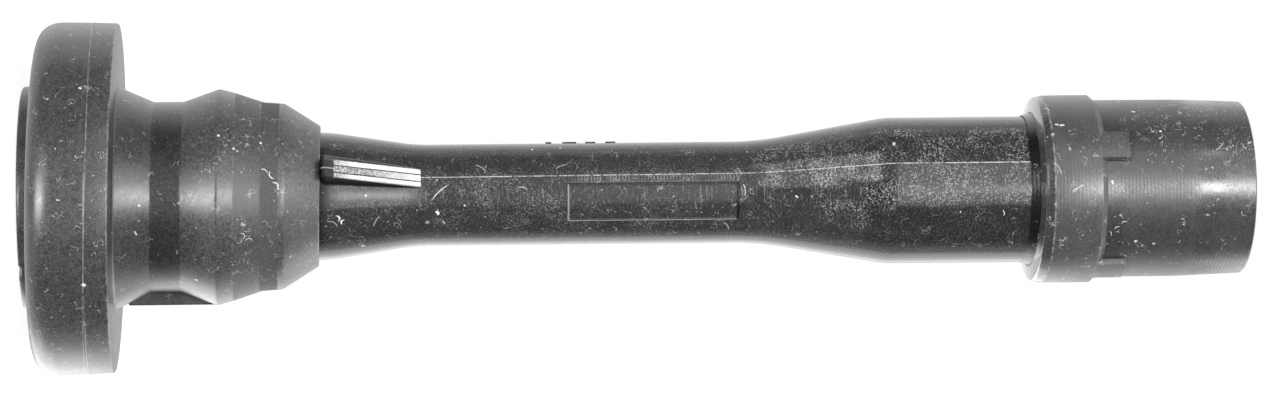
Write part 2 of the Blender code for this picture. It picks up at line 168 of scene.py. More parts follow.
class Workpiece:
    """A mesh on the bench. Each method is one step of modelling by hand in edit mode."""

    def __init__(self, name: str) -> None:
        """Takes the primitive that has just been added and names it.

        Args:
            name: The piece's name.
        """
        self.obj = bpy.context.active_object
        self.obj.name = name
        self.obj.data.name = name

    @staticmethod
    def clear_bench() -> None:
        """Leaves edit mode and deselects everything, so that an operator meets only its own piece."""
        if bpy.context.mode != "OBJECT":
            bpy.ops.object.mode_set(mode="OBJECT")
        bpy.ops.object.select_all(action="DESELECT")

    @classmethod
    def hold(cls, *objects: bpy.types.Object) -> None:
        """Takes objects in hand: they alone are selected, and the first of them is active.

        Args:
            objects: What is held, at least one.
        """
        cls.clear_bench()
        for obj in objects:
            obj.select_set(True)
        bpy.context.view_layer.objects.active = objects[0]

    @classmethod
    def point(cls, name: str, place: Vector) -> "Workpiece":
        """Starts a piece from a small plane that is merged to one corner.

        Args:
            name: The piece's name.
            place: Where the corner goes.

        Returns:
            The piece, in edit mode, with its corner selected.
        """
        cls.clear_bench()
        bpy.ops.mesh.primitive_plane_add(size=MM)
        piece = cls(name)
        piece.edit()
        cls.select_whole()
        bpy.ops.mesh.merge(type="CENTER")
        bpy.ops.transform.translate(value=place)
        return piece

    @classmethod
    def block(cls, name: str, centre: Vector, size: Vector) -> "Workpiece":
        """Starts a piece from a cube stretched to a size.

        Args:
            name: The piece's name.
            centre: Its middle.
            size: Its full size along X, Y and Z.

        Returns:
            The piece, in edit mode, all selected.
        """
        cls.clear_bench()
        bpy.ops.mesh.primitive_cube_add(size=1.0, location=centre, scale=size)
        bpy.ops.object.transform_apply(location=True, rotation=True, scale=True)
        piece = cls(name)
        piece.edit()
        cls.select_whole()
        return piece

    def edit(self, element: str = "VERT") -> None:
        """Enters edit mode on this piece.

        Args:
            element: What a click would select: VERT, EDGE or FACE.
        """
        if bpy.context.mode != "OBJECT":
            bpy.ops.object.mode_set(mode="OBJECT")
        bpy.context.view_layer.objects.active = self.obj
        self.obj.select_set(True)
        bpy.ops.object.mode_set(mode="EDIT")
        bpy.ops.mesh.select_mode(type=element)

    @staticmethod
    def select_whole() -> None:
        """Selects the whole mesh."""
        bpy.ops.mesh.select_all(action="SELECT")

    def merge_doubles(self) -> None:
        """Merges the corners of the whole mesh that lie on each other."""
        self.select_whole()
        bpy.ops.mesh.remove_doubles(threshold=MERGE_DISTANCE)

    def trace(self, points: Iterable[Vector]) -> None:
        """Extrudes the selected corner through a row of places.

        Args:
            points: The places after the first, which is where the corner is.
        """
        here = None
        for place in points:
            if here is not None:
                bpy.ops.mesh.extrude_region_move(TRANSFORM_OT_translate={"value": place - here})
            here = place

    def spin(self, sweeps: Sequence[Sweep]) -> None:
        """Turns the whole outline round the axis.

        Args:
            sweeps: The stretches that it turns through, each from where the last one ended.
        """
        self.select_whole()
        for sweep in sweeps:
            turn = -math.radians(sweep.degrees)
            bpy.ops.mesh.spin(
                steps=sweep.steps, angle=turn, center=(0, 0, 0), axis=(0, 0, 1), use_auto_merge=False
            )

    def pick(self, test: Callable[[Vector], bool], element: str = "VERT") -> None:
        """Selects the vertices, edges or faces whose middle passes a test.

        Args:
            test: Says whether a place is wanted.
            element: VERT, EDGE or FACE.
        """
        self.edit(element)
        bpy.ops.mesh.select_all(action="DESELECT")
        bpy.ops.object.mode_set(mode="OBJECT")
        mesh = self.obj.data
        if element == "VERT":
            middles = [(vertex, vertex.co) for vertex in mesh.vertices]
        elif element == "EDGE":
            ends = [[mesh.vertices[index].co for index in edge.vertices] for edge in mesh.edges]
            middles = [(edge, (start + end) / 2) for edge, (start, end) in zip(mesh.edges, ends)]
        else:
            middles = [(face, face.center) for face in mesh.polygons]
        for part, middle in middles:
            if test(middle):
                part.select = True
        bpy.ops.object.mode_set(mode="EDIT")

    def move(self, offset: Vector) -> None:
        """Moves what is selected."""
        bpy.ops.transform.translate(value=offset)

    def scale_out(self, factor: float) -> None:
        """Scales what is selected away from the part's axis and keeps its height."""
        bpy.ops.transform.resize(value=(factor, factor, 1), center_override=(0, 0, 0))

    def rotate(self, degrees: float, axis: str, centre: Place = (0, 0, 0)) -> None:
        """Turns what is selected about an axis, by the right hand rule."""
        bpy.ops.transform.rotate(
            value=-math.radians(degrees), orient_axis=axis, orient_type="GLOBAL", center_override=centre
        )

    def extrude(self, offset: Vector) -> None:
        """Extrudes the selected faces along a line."""
        bpy.ops.mesh.extrude_region_move(TRANSFORM_OT_translate={"value": offset})

    def bevel(self, width: float, segments: int = 2) -> None:
        """Rounds the selected edges."""
        bpy.ops.mesh.bevel(offset=width, segments=segments, affect="EDGES", clamp_overlap=True)

    def slice(self, place: Vector, normal: Vector) -> None:
        """Cuts the whole mesh along a plane and keeps both halves."""
        self.select_whole()
        bpy.ops.mesh.bisect(plane_co=place, plane_no=normal)

    def copies(self, count: int) -> None:
        """Repeats the whole mesh round the axis.

        Args:
            count: How many times it stands there in all.
        """
        made = [self.obj]
        for _ in range(1, count):
            self.hold(made[-1])
            bpy.ops.object.duplicate()
            copy = bpy.context.active_object
            copy.rotation_euler = (0.0, 0.0, math.tau / count)
            bpy.ops.object.transform_apply(location=False, rotation=True, scale=False)
            made.append(copy)
        self.join(made[1:])

    def turn_to(self, azimuth: float) -> None:
        """Turns the whole piece round the part's axis.

        Args:
            azimuth: Where it faces afterwards, if it faced -Y before.
        """
        self.hold(self.obj)
        self.obj.rotation_euler = (0.0, 0.0, math.radians(azimuth))
        bpy.ops.object.transform_apply(location=False, rotation=True, scale=False)

    def join(self, others: Iterable[bpy.types.Object]) -> None:
        """Joins other pieces into this one."""
        self.hold(self.obj, *others)
        bpy.ops.object.join()

    def close(self) -> None:
        """Merges doubled corners and points all faces outwards."""
        self.edit()
        self.merge_doubles()
        self.select_whole()
        bpy.ops.mesh.normals_make_consistent(inside=False)

    def finish(self, material: bpy.types.Material, crease: float = 30.0) -> bpy.types.Object:
        """Leaves edit mode, shades the piece and gives it its material.

        Args:
            material: What it is made of.
            crease: Edges sharper than this many degrees stay sharp.

        Returns:
            The finished object.
        """
        self.hold(self.obj)
        bpy.ops.object.shade_smooth_by_angle(angle=math.radians(crease))
        self.obj.data.materials.clear()
        self.obj.data.materials.append(material)
        return self.obj


def turned(
    name: str, outline: Outline, start: float, sweeps: Sequence[Sweep], filled: bool = False
) -> Workpiece:
    """Makes a turned shape from a closed outline.

    Args:
        name: The piece's name.
        outline: Its section as (radius, height) in metres.
        start: The azimuth where the turning starts.
        sweeps: The stretches it turns through.
        filled: Whether it gets faces at its two ends, as a shape needs that doesn't go all the way round.

    Returns:
        The piece, with its doubled corners merged and its faces pointing outwards.
    """
    out = direction(start)
    places = [out * radius + Vector((0, 0, height)) for radius, height in outline]
    piece = Workpiece.point(name, places[0])
    piece.trace([*places, places[0]])
    piece.merge_doubles()
    if filled:
        piece.select_whole()
        bpy.ops.mesh.edge_face_add()
    piece.spin(sweeps)
    piece.close()
    return piece


class Value:
    """A number in a material or a world. Arithmetic on it adds Math nodes."""

    def __init__(self, nodes: "Nodes", socket: bpy.types.NodeSocket) -> None:
        """Wraps a socket.

        Args:
            nodes: The nodes it belongs to.
            socket: An output that carries a number.
        """
        self.nodes = nodes
        self.socket = socket

    def math(self, operation: str, *others: "Value | float") -> "Value":
        """The result of a Math node on this value and others."""
        inputs = {index: part for index, part in enumerate((self, *others))}
        return self.nodes.value("ShaderNodeMath", {"operation": operation}, inputs)

    def __add__(self, other: "Value | float") -> "Value":
        """Sum."""
        return self.math("ADD", other)

    __radd__ = __add__

    def __mul__(self, other: "Value | float") -> "Value":
        """Product."""
        return self.math("MULTIPLY", other)

    __rmul__ = __mul__

    def __sub__(self, other: "Value | float") -> "Value":
        """Difference."""
        return self.math("SUBTRACT", other)

    def __rsub__(self, other: float) -> "Value":
        """Difference from a plain number."""
        return (self * -1.0).math("ADD", other)

    def __abs__(self) -> "Value":
        """Size without sign."""
        return self.math("ABSOLUTE")

    def smooth(self, low: "Value | float", high: "Value | float") -> "Value":
        """0 at low and 1 at high, with a soft change between; low may be the larger."""
        inputs = {"Value": self, "From Min": low, "From Max": high}
        return self.nodes.value("ShaderNodeMapRange", {"interpolation_type": "SMOOTHSTEP"}, inputs)

    def within(self, low: float, high: float, soft: float) -> "Value":
        """1 between two limits, with soft ends that reach half outside them."""
        half = soft / 2
        return self.smooth(low - half, low + half) * self.smooth(high + half, high - half)

    def blend(self, first: "Value | float", second: "Value | float") -> "Value":
        """The first where this mask is 0 and the second where it is 1."""
        return self.nodes.value("ShaderNodeMix", {"data_type": "FLOAT"}, {0: self, 2: first, 3: second})


class Nodes:
    """The nodes of a material or a world, all added through one method."""

    def __init__(self, tree: bpy.types.NodeTree) -> None:
        """Takes a node tree.

        Args:
            tree: The tree that the nodes go into.
        """
        self.tree = tree

    def add(
        self, kind: str, settings: Settings | None = None, inputs: Inputs | None = None
    ) -> bpy.types.Node:
        """Adds a node.

        Args:
            kind: The node's type.
            settings: Its own settings, which are set first.
            inputs: Values or links for its sockets, by name or number.

        Returns:
            The node.
        """
        node = self.tree.nodes.new(kind)
        for key, setting in (settings or {}).items():
            setattr(node, key, setting)
        for key, content in (inputs or {}).items():
            self.feed(node.inputs[key], content)
        return node

    def feed(self, socket: bpy.types.NodeSocket, content: Any) -> None:
        """Links a value or an output to a socket, or sets the socket to a plain number or colour.

        Args:
            socket: The socket to feed.
            content: What goes in.
        """
        if isinstance(content, Value):
            self.tree.links.new(content.socket, socket)
        elif isinstance(content, bpy.types.NodeSocket):
            self.tree.links.new(content, socket)
        else:
            socket.default_value = content

    def value(self, kind: str, settings: Settings | None, inputs: Inputs, output: int | str = 0) -> Value:
        """Adds a node and takes one of its outputs as a value.

        Args:
            kind: The node's type.
            settings: Its own settings.
            inputs: Values or links for its sockets.
            output: Which output is taken, by name or number.

        Returns:
            The value.
        """
        return Value(self, self.add(kind, settings, inputs).outputs[output])

    def rays(self, *kinds: str) -> Value:
        """Tells rays apart.

        Args:
            kinds: The kinds that are asked for, such as Is Camera Ray.

        Returns:
            1 for rays of any of these kinds and 0 for others.
        """
        path = self.add("ShaderNodeLightPath")
        found = Value(self, path.outputs[kinds[0]])
        for kind in kinds[1:]:
            found = found.math("MAXIMUM", Value(self, path.outputs[kind]))
        return found

    def either(self, mask: Value, first: bpy.types.Node, second: bpy.types.Node) -> bpy.types.Node:
        """One shader where the mask is 0 and another where it is 1."""
        return self.add("ShaderNodeMixShader", None, {0: mask, 1: first.outputs[0], 2: second.outputs[0]})


@dataclass(frozen=True)
class Dust:
    """Dust of one kind: how far apart its grains may lie and the radius of the largest, in millimetres.

    Ragged is how far a grain's outline strays, as a share of its size.
    """

    cell: float
    size: float
    ragged: float = 0.6


class Sheet(Nodes):
    """A material under way: one Principled shader and the nodes that feed it.

    Its heights, radii and sizes are in millimetres and its azimuths in degrees.
    """

    def __init__(self, name: str) -> None:
        """Starts a material.

        Args:
            name: Its name.
        """
        self.material = bpy.data.materials.new(name)
        self.material.use_nodes = True
        super().__init__(self.material.node_tree)
        self.shader = self.tree.nodes["Principled BSDF"]
        self.place = self.add("ShaderNodeTexCoord").outputs["Object"]
        axes = self.add("ShaderNodeSeparateXYZ", None, {0: self.place})
        self.x, self.y, self.z = (Value(self, axes.outputs[axis]) * (1 / MM) for axis in "XYZ")
        self.azimuth = self.x.math("ARCTAN2", self.y * -1.0) * math.degrees(1.0)
        self.radius = (self.x * self.x + self.y * self.y).math("SQRT")
        shaken = self.add("ShaderNodeSeparateXYZ", None, {0: self.ruffled(0.35, 0.04)})
        across, depth, self.worn_z = (Value(self, shaken.outputs[axis]) * (1 / MM) for axis in "XYZ")
        self.worn_azimuth = across.math("ARCTAN2", depth * -1.0) * math.degrees(1.0)

    def noise(self, size: float, detail: float = 2.0, place: bpy.types.NodeSocket | None = None) -> Value:
        """Smooth random tone, about 0.5 on average.

        Args:
            size: How wide its largest blots are, in millimetres.
            detail: How many finer layers it has.
            place: The coordinates that it reads, the object's own if left out.

        Returns:
            The tone.
        """
        inputs = {"Vector": place or self.place, "Scale": 1 / (size * MM), "Detail": detail}
        return self.value("ShaderNodeTexNoise", None, inputs, "Fac")

    def grit(self, cell: float, place: bpy.types.NodeSocket | None = None) -> Value:
        """A random tone from 0 to 1 for each small cell of the skin.

        Args:
            cell: How wide a cell is, in millimetres.
            place: The coordinates that it reads, the object's own if left out.

        Returns:
            The tone.
        """
        inputs = {"Vector": place or self.place, "Scale": 1 / (cell * MM)}
        cells = self.add("ShaderNodeTexVoronoi", None, inputs)
        return self.value("ShaderNodeSeparateColor", None, {0: cells.outputs["Color"]})

    def stretched(self, turn: Sequence[float], factors: Sequence[float]) -> bpy.types.NodeSocket:
        """Object coordinates turned and stretched, for streaks."""
        inputs = {"Vector": self.place, "Rotation": turn, "Scale": factors}
        return self.add("ShaderNodeMapping", None, inputs).outputs["Vector"]

    def ruffled(self, size: float, reach: float) -> bpy.types.NodeSocket:
        """Object coordinates pushed about at random, so that round marks come out ragged.

        Args:
            size: How far apart the pushes differ, in millimetres.
            reach: How far the strongest pushes go.

        Returns:
            The coordinates.
        """
        inputs: Inputs = {"Vector": self.place, "Scale": 1 / (size * MM), "Detail": 1.0}
        noise = self.add("ShaderNodeTexNoise", None, inputs)
        inputs = {0: noise.outputs["Color"], 1: (0.5,) * 3}
        push = self.add("ShaderNodeVectorMath", {"operation": "SUBTRACT"}, inputs)
        inputs = {0: push.outputs[0], 1: (reach * 4 * MM,) * 3, 2: self.place}
        return self.add("ShaderNodeVectorMath", {"operation": "MULTIPLY_ADD"}, inputs).outputs[0]

    def specks(self, dust: Dust, share: Value | float) -> Value:
        """Ragged specks of dust, where the surface cuts scattered grains.

        Args:
            dust: The kind of dust.
            share: The share of the places that hold a grain.

        Returns:
            Up to 1 on a grain and 0 beside it.
        """
        place = self.ruffled(dust.size * 1.6, dust.size * dust.ragged)
        grains = self.add("ShaderNodeTexVoronoi", None, {"Vector": place, "Scale": 1 / (dust.cell * MM)})
        random = self.add("ShaderNodeSeparateColor", None, {0: grains.outputs["Color"]})
        chance, spread, light = (Value(self, random.outputs[index]) for index in (0, 1, 2))
        distance = Value(self, grains.outputs["Distance"])
        largest = dust.size / dust.cell
        edge = spread * spread * (largest * 0.6) + largest * 0.4
        here = chance.math("LESS_THAN", share)
        return distance.smooth(edge, edge * 0.5) * here * (light * 0.7 + 0.3)

    def fibres(self, curl: float, width: float, share: Value | float) -> Value:
        """Fine curled hairs of lint.

        Args:
            curl: How wide the curls are, in millimetres.
            width: How thick a hair is.
            share: A tone near 0.6; a higher one leaves fewer and shorter hairs.

        Returns:
            1 on a hair and 0 beside it.
        """
        shifted = self.stretched((0.4, 0.9, 0.2), (1.0, 1.0, 1.0))
        line = abs(self.noise(curl, 1.0, shifted) - 0.5)
        slope = 0.22 * width / curl
        gate = (self.noise(curl * 1.4, 0.0) - share).smooth(0.0, 0.02)
        return line.smooth(slope, slope * 0.4) * gate

    def streaks(self, turn: Sequence[float], length: float, width: float, share: float) -> Value:
        """Straight hairline scratches along one direction.

        Args:
            turn: How the direction is turned from X, in radians.
            length: How long a scratch is, in millimetres.
            width: How far apart scratches are.
            share: A tone near 0.7; a higher one leaves fewer scratches.

        Returns:
            1 on a scratch and 0 beside it.
        """
        long = self.stretched(turn, (1.0, length / width, length / width))
        return self.noise(length, 0.0, long).smooth(share, share + 0.05)

    def paint(self, base: Value | float, layers: Sequence[tuple[Value, Value | float]]) -> None:
        """Gives the shader its grey, layer over layer.

        Args:
            base: The grey below, as a linear tone.
            layers: For each layer its mask and its grey.
        """
        tone = base
        for mask, grey in layers:
            tone = mask.blend(tone, grey)
        colour = self.add("ShaderNodeCombineColor", None, {0: tone, 1: tone, 2: tone})
        self.feed(self.shader.inputs["Base Color"], colour.outputs[0])

    def emboss(self, height: Value, depth: float) -> None:
        """Raises the surface where the height is large.

        Args:
            height: From 0 to 1.
            depth: How much 1 stands for, in millimetres.
        """
        bump = self.add("ShaderNodeBump", None, {"Height": height, "Distance": depth * MM, "Strength": 1.0})
        self.feed(self.shader.inputs["Normal"], bump.outputs["Normal"])

    def roughen(self, roughness: Value) -> None:
        """Gives the shader its roughness."""
        self.feed(self.shader.inputs["Roughness"], roughness)

    def constant(self, **settings: float) -> None:
        """Sets numbers on the shader's own sockets, with underscores for the spaces in their names."""
        for key, number in settings.items():
            self.shader.inputs[key.replace("_", " ")].default_value = number


@dataclass(frozen=True)
class Patch:
    """A patch of the skin: a range of heights in millimetres and of azimuths in degrees."""

    low: float
    high: float
    first: float
    last: float
    amount: float
    soft: float = 3.0
    soft_round: float = 12.0

    def on(self, sheet: Sheet) -> Value:
        """Its mask on a material.

        Args:
            sheet: The material.

        Returns:
            The mask.
        """
        along = sheet.z.within(self.low, self.high, self.soft)
        round_axis = sheet.azimuth.within(self.first, self.last, self.soft_round)
        return along * round_axis * self.amount


@dataclass(frozen=True)
class Mark:
    """One lone mark: a chip, a hair or a scratch. Its place is a height and an azimuth.

    Its half length runs along the axis when its slant is 0, and turns towards larger azimuths with it. A
    bend curves it. Sizes are in millimetres and angles in degrees.
    """

    height: float
    azimuth: float
    radius: float
    half_length: float
    half_width: float
    slant: float = 0.0
    bend: float = 0.0
    amount: float = 0.9

    def on(self, sheet: Sheet) -> Value:
        """Its mask on a material.

        Args:
            sheet: The material.

        Returns:
            The mask.
        """
        along = sheet.worn_z - self.height
        across = (sheet.worn_azimuth - self.azimuth) * (math.radians(1.0) * self.radius)
        turn = math.radians(self.slant)
        run = along * math.cos(turn) + across * math.sin(turn)
        off = across * math.cos(turn) - along * math.sin(turn)
        if self.bend:
            off = off - run * run * (self.bend / self.half_length**2)
        taper = run.within(-self.half_length, self.half_length, self.half_length * 0.5)
        return abs(off).smooth(self.half_width * 1.3, self.half_width * 0.7) * taper * self.amount


def joined(sheet: Sheet, parts: Sequence[Patch | Mark]) -> Value:
    """One mask for several patches or marks, the strongest of them everywhere.

    Args:
        sheet: The material.
        parts: The patches or marks, at least one.

    Returns:
        The mask.
    """
    mask = parts[0].on(sheet)
    for part in parts[1:]:
        mask = mask.math("MAXIMUM", part.on(sheet))
    return mask


@dataclass(frozen=True)
class Ring:
    """A ring of the skin between two heights and two radii, in millimetres, that differs from the rest.

    Its tone is a share of the material's own colour, its roughness is added to the material's, and its
    coat is a clear gloss on top. A broken ring shows only here and there, as a worn edge does.
    """

    low: float
    high: float
    inner: float
    outer: float
    tone: float = 1.0
    rougher: float = 0.0
    coat: float = 0.0
    amount: float = 1.0
    soft: float = 0.1
    soft_out: float = 0.06
    broken: bool = False

    def on(self, sheet: Sheet, height: Value) -> Value:
        """Its mask on a material.

        Args:
            sheet: The material.
            height: The height that it goes by, in millimetres.

        Returns:
            The mask.
        """
        mask = height.within(self.low, self.high, self.soft)
        mask = mask * sheet.radius.within(self.inner, self.outer, self.soft_out) * self.amount
        if self.broken:
            mask = mask * sheet.noise(0.9, 3.0).smooth(0.36, 0.58)
        return mask


@dataclass(frozen=True)
class RampLook:
    """Where the retaining ramp is worn and painted bright as a highlight, and where shade and a thin
    highlight line are painted on it, in millimetres and degrees.

    Across is measured from the ramp's middle line, which drifts towards +X along the ramp.
    """

    azimuth: float = PARTING_AZIMUTH
    low: float = RAMP_START
    high: float = RAMP_END
    radius: float = 10.5
    slope: float = 0.2567
    drift: float = 0.0254
    grooves: Pair = FLUTE_PLACES
    groove_half: float = 0.07
    fade: float = 0.1
    bare_nose: float = 1.72
    taper_radius: float = 8.62
    taper_height: float = 41.14
    taper_slope: float = 0.1534
    stem_radius: float = 6.88

    def on(self, sheet: Sheet) -> dict[str, Value]:
        """Its masks on a material.

        Args:
            sheet: The material.

        Returns:
            Masks named rubbed_and_sheen, granular, groove_and_wall_shade, nose, seam and foot_highlight.
        """
        turn = math.radians(self.azimuth)
        past = sheet.z - self.low
        across = sheet.x * math.cos(turn) + sheet.y * math.sin(turn) - past * self.drift
        skin = self.radius - past * self.slope
        top = sheet.radius.smooth(skin - 0.12, skin)
        near = sheet.z.within(self.low - 0.3, self.high + 0.15, self.fade)
        near = near * sheet.y.math("LESS_THAN", 0.0)
        # The stretch past the bare nose, whose top is worn and also painted bright as a highlight.
        rubbed_and_sheen = sheet.z.within(self.low + self.bare_nose, self.high + 0.3, self.fade)
        first, second = (
            across.within(at - self.groove_half, at + self.groove_half, 0.06) for at in self.grooves
        )
        grooves = first + second
        middle = across.within(*self.grooves, self.fade) * past.smooth(14.0, 5.0)
        start = past.smooth(self.bare_nose + 3.0, self.bare_nose) * 0.8
        taper = (sheet.z - self.taper_height) * -self.taper_slope + self.taper_radius
        above = sheet.radius - taper.math("MAXIMUM", self.stem_radius)
        # Shade is painted in the flutes and on the ramp's side wall, and a highlight in a thin line along
        # the wall's base.
        wall = above.smooth(0.1, 0.2) * (1.0 - top)
        foot_highlight = above.within(0.13, 0.34, 0.06) * across.within(-2.9, -1.0, self.fade)
        return {
            "rubbed_and_sheen": top * rubbed_and_sheen * near,
            "granular": middle.math("MAXIMUM", start) * top * rubbed_and_sheen * near,
            "groove_and_wall_shade": (grooves * top * rubbed_and_sheen).math("MAXIMUM", wall) * near,
            "nose": top * (1.0 - rubbed_and_sheen) * near,
            "seam": abs(across).smooth(0.12, 0.05) * (1.0 - rubbed_and_sheen) * near,
            "foot_highlight": foot_highlight * near,
        }


@dataclass(frozen=True)
class TubePlastic:
    """Glossy black thermoset, dusty and finely scratched.

    Haze is an even film of dust, and grit is dust in separate bright grains. Quiet is a patch with less
    grit, and hatch is a patch with short ticks across the axis.
    """

    name: str = "glossy_black_thermoset"
    colour: float = 0.02
    haze_colour: float = 0.12
    dust_colour: float = 0.55
    scuff_colour: float = 0.3
    grain_colour: float = 0.5
    roughness: float = 0.15
    cloud_size: float = 3.5
    grain_size: float = 0.135
    specks: Dust = Dust(0.5, 0.14)
    crumbs: Dust = Dust(1.9, 0.22, 0.9)
    hazes: tuple[Patch, ...] = (
        Patch(-1.0, 2.6, *ALL_ROUND, 1.0, 0.2),
        Patch(40.0, 113.0, *ALL_ROUND, 0.15, 3.0),
        Patch(98.5, 110.5, -33.0, -4.0, 0.8, 5.0, 6.0),
        Patch(105.0, 115.3, -33.0, -8.5, 0.85, 2.0, 7.0),
        Patch(117.5, 135.5, -21.4, 12.0, 0.33, 0.3, 7.0),
        Patch(41.0, 53.2, -17.0, 12.0, 0.6, 1.6, 6.0),
    )
    grits: tuple[Patch, ...] = (
        Patch(100.0, 111.0, -34.0, -3.5, 1.0, 6.0, 6.0),
        Patch(106.0, 115.6, -34.0, -8.0, 1.0, 3.0, 7.0),
        Patch(98.0, 117.0, -60.0, -34.0, 0.4, 4.0),
        Patch(117.3, 135.5, -56.0, -21.6, 0.62, 0.3, 4.0),
        Patch(117.3, 135.5, -21.6, 11.0, 0.55, 0.3, 6.0),
        Patch(107.5, 113.5, 9.0, 33.0, 0.75, 3.0, 8.0),
        Patch(112.8, 117.2, -4.0, 17.0, 0.8, 1.5, 6.0),
        Patch(115.2, 117.4, -40.0, 16.0, 0.35, 0.5, 6.0),
        Patch(53.0, 98.0, -30.0, 40.0, 0.3, 6.0),
        Patch(40.0, 136.0, -80.0, 60.0, 0.1, 3.0),
    )
    # Painted highlights along the raised panel's lit edges.
    lit_edges: tuple[Patch, ...] = (
        Patch(73.02, 73.24, -11.6, 31.6, 0.8, 0.06, 0.5),
        Patch(73.02, 96.2, 30.4, 31.7, 0.8, 0.06, 0.5),
        Patch(73.0, 96.2, -13.6, -12.4, 0.2, 0.06, 0.5),
    )
    # Painted shade: along the panel's shaded edges, and all round the tube beside the boot's lip.
    painted_shade_edges: tuple[Patch, ...] = (
        Patch(73.02, 96.2, -12.0, -10.2, 0.95, 0.06, 0.5),
        Patch(95.88, 96.28, -11.6, 31.6, 0.95, 0.06, 0.5),
        Patch(135.55, 137.6, *ALL_ROUND, 0.8, 0.06, 1.0),
    )
    marks: tuple[Mark, ...] = (
        Mark(42.35, 20.2, 8.5, 0.4, 0.11, 70.0, 0.25, 1.0),
        Mark(42.62, 24.0, 8.5, 0.34, 0.11, -62.0, 0.2, 1.0),
        Mark(41.6, 24.5, 8.6, 0.7, 0.06, 35.0, 0.3, 0.5),
        Mark(45.5, 58.1, 8.0, 0.26, 0.13, 0.0, 0.0, 0.9),
        Mark(45.9, 0.0, 8.0, 0.12, 0.12),
        Mark(47.2, 26.6, 7.9, 0.8, 0.07, -62.0, 0.1, 0.4),
        Mark(55.55, 20.4, 6.95, 0.3, 0.18, 50.0, 0.1, 1.0),
        Mark(55.75, -3.6, 6.95, 1.35, 0.07, -43.0, 0.15, 0.6),
        Mark(55.5, -2.4, 6.95, 0.9, 0.05, -48.0, 0.1, 0.45),
        Mark(54.15, 32.4, 7.0, 0.24, 0.22, 0.0, 0.0, 0.35),
        Mark(56.35, 32.7, 7.0, 0.3, 0.12, 60.0, 0.0, 0.45),
        Mark(59.15, 12.2, 6.95, 0.13, 0.13),
        Mark(61.5, -32.5, 6.95, 0.8, 0.06, 38.0, 0.2, 0.6),
        Mark(67.0, -8.0, 6.95, 0.6, 0.06, 10.0, 0.25, 0.5),
        Mark(68.5, -61.3, 6.95, 0.14, 0.14),
        Mark(72.3, -64.6, 6.95, 0.14, 0.11),
        Mark(72.3, -33.4, 6.95, 0.85, 0.06, -24.0, 0.1, 0.45),
        Mark(94.75, 41.2, 6.95, 0.6, 0.06, 62.0, 0.1, 0.6),
        Mark(97.05, -2.2, 6.95, 0.7, 0.06, 82.0, 0.15, 0.6),
        Mark(97.0, -6.0, 7.0, 0.35, 0.06, 75.0, 0.1, 0.5),
        Mark(103.95, 5.3, 8.0, 0.24, 0.09, 40.0, 0.0, 0.9),
        Mark(117.24, -39.1, 10.0, 0.18, 0.3, 0.0, 0.0, 0.8),
        Mark(131.9, 18.5, 10.0, 0.4, 0.06, 78.0, 0.1, 0.8),
    )
    quiet: Patch = Patch(73.3, 96.0, -10.5, 30.8, 0.6, 0.2, 1.0)
    hatch: Patch = Patch(72.6, 96.0, -20.4, -14.2, 0.5, 0.8, 1.6)
    hatch_pitch: float = 0.43
    ramp: RampLook = RampLook()
    parting_low: float = 53.2
    parting_high: float = 135.5
    turn_low: float = 54.0
    turn_high: float = 98.0
    rubbed_roughness: float = 0.1

    def parting_line(self, sheet: Sheet) -> Value:
        """The thin worn line that the mould's halves left.

        Args:
            sheet: The material.

        Returns:
            The mask.
        """
        turning = sheet.z.math("MINIMUM", self.turn_high).math("MAXIMUM", self.turn_low) - self.turn_high
        middle = turning * (-PARTING_TURN / (self.turn_high - self.turn_low)) + PARTING_AZIMUTH
        line = abs(sheet.azimuth - middle) * sheet.radius
        line = line.smooth(5.0, 3.0) * sheet.z.within(self.parting_low, self.parting_high, 0.2)
        return line * sheet.noise(0.5, 2.0).smooth(0.3, 0.6)

    def material(self) -> bpy.types.Material:
        """Mixes the material.

        Returns:
            The material.
        """
        sheet = Sheet(self.name)
        cloud = sheet.noise(self.cloud_size, 4.0).smooth(0.3, 0.66)
        grit = sheet.grit(self.grain_size, sheet.ruffled(0.24, 0.03))
        dusty = joined(sheet, self.grits) * (1.0 - self.quiet.on(sheet))
        grains = grit.smooth(0.68, 0.95) * dusty * (cloud * 0.85 + 0.15)
        haze = joined(sheet, self.hazes) * (cloud * 0.4 + 0.6) * (grit * 0.7 + 0.5)
        specks = sheet.specks(self.specks, dusty * cloud * 0.35 + 0.09)
        crumbs = sheet.specks(self.crumbs, 0.16)
        fibres = sheet.fibres(1.1, 0.08, 0.63)
        scratches = sheet.streaks((0.5, 0.2, 0.7), 3.0, 0.1, 0.7)
        ticks = (sheet.z * (math.tau / self.hatch_pitch)).math("SINE").smooth(0.1, 0.9)
        ticks = ticks * self.hatch.on(sheet) * cloud
        ramp = self.ramp.on(sheet)
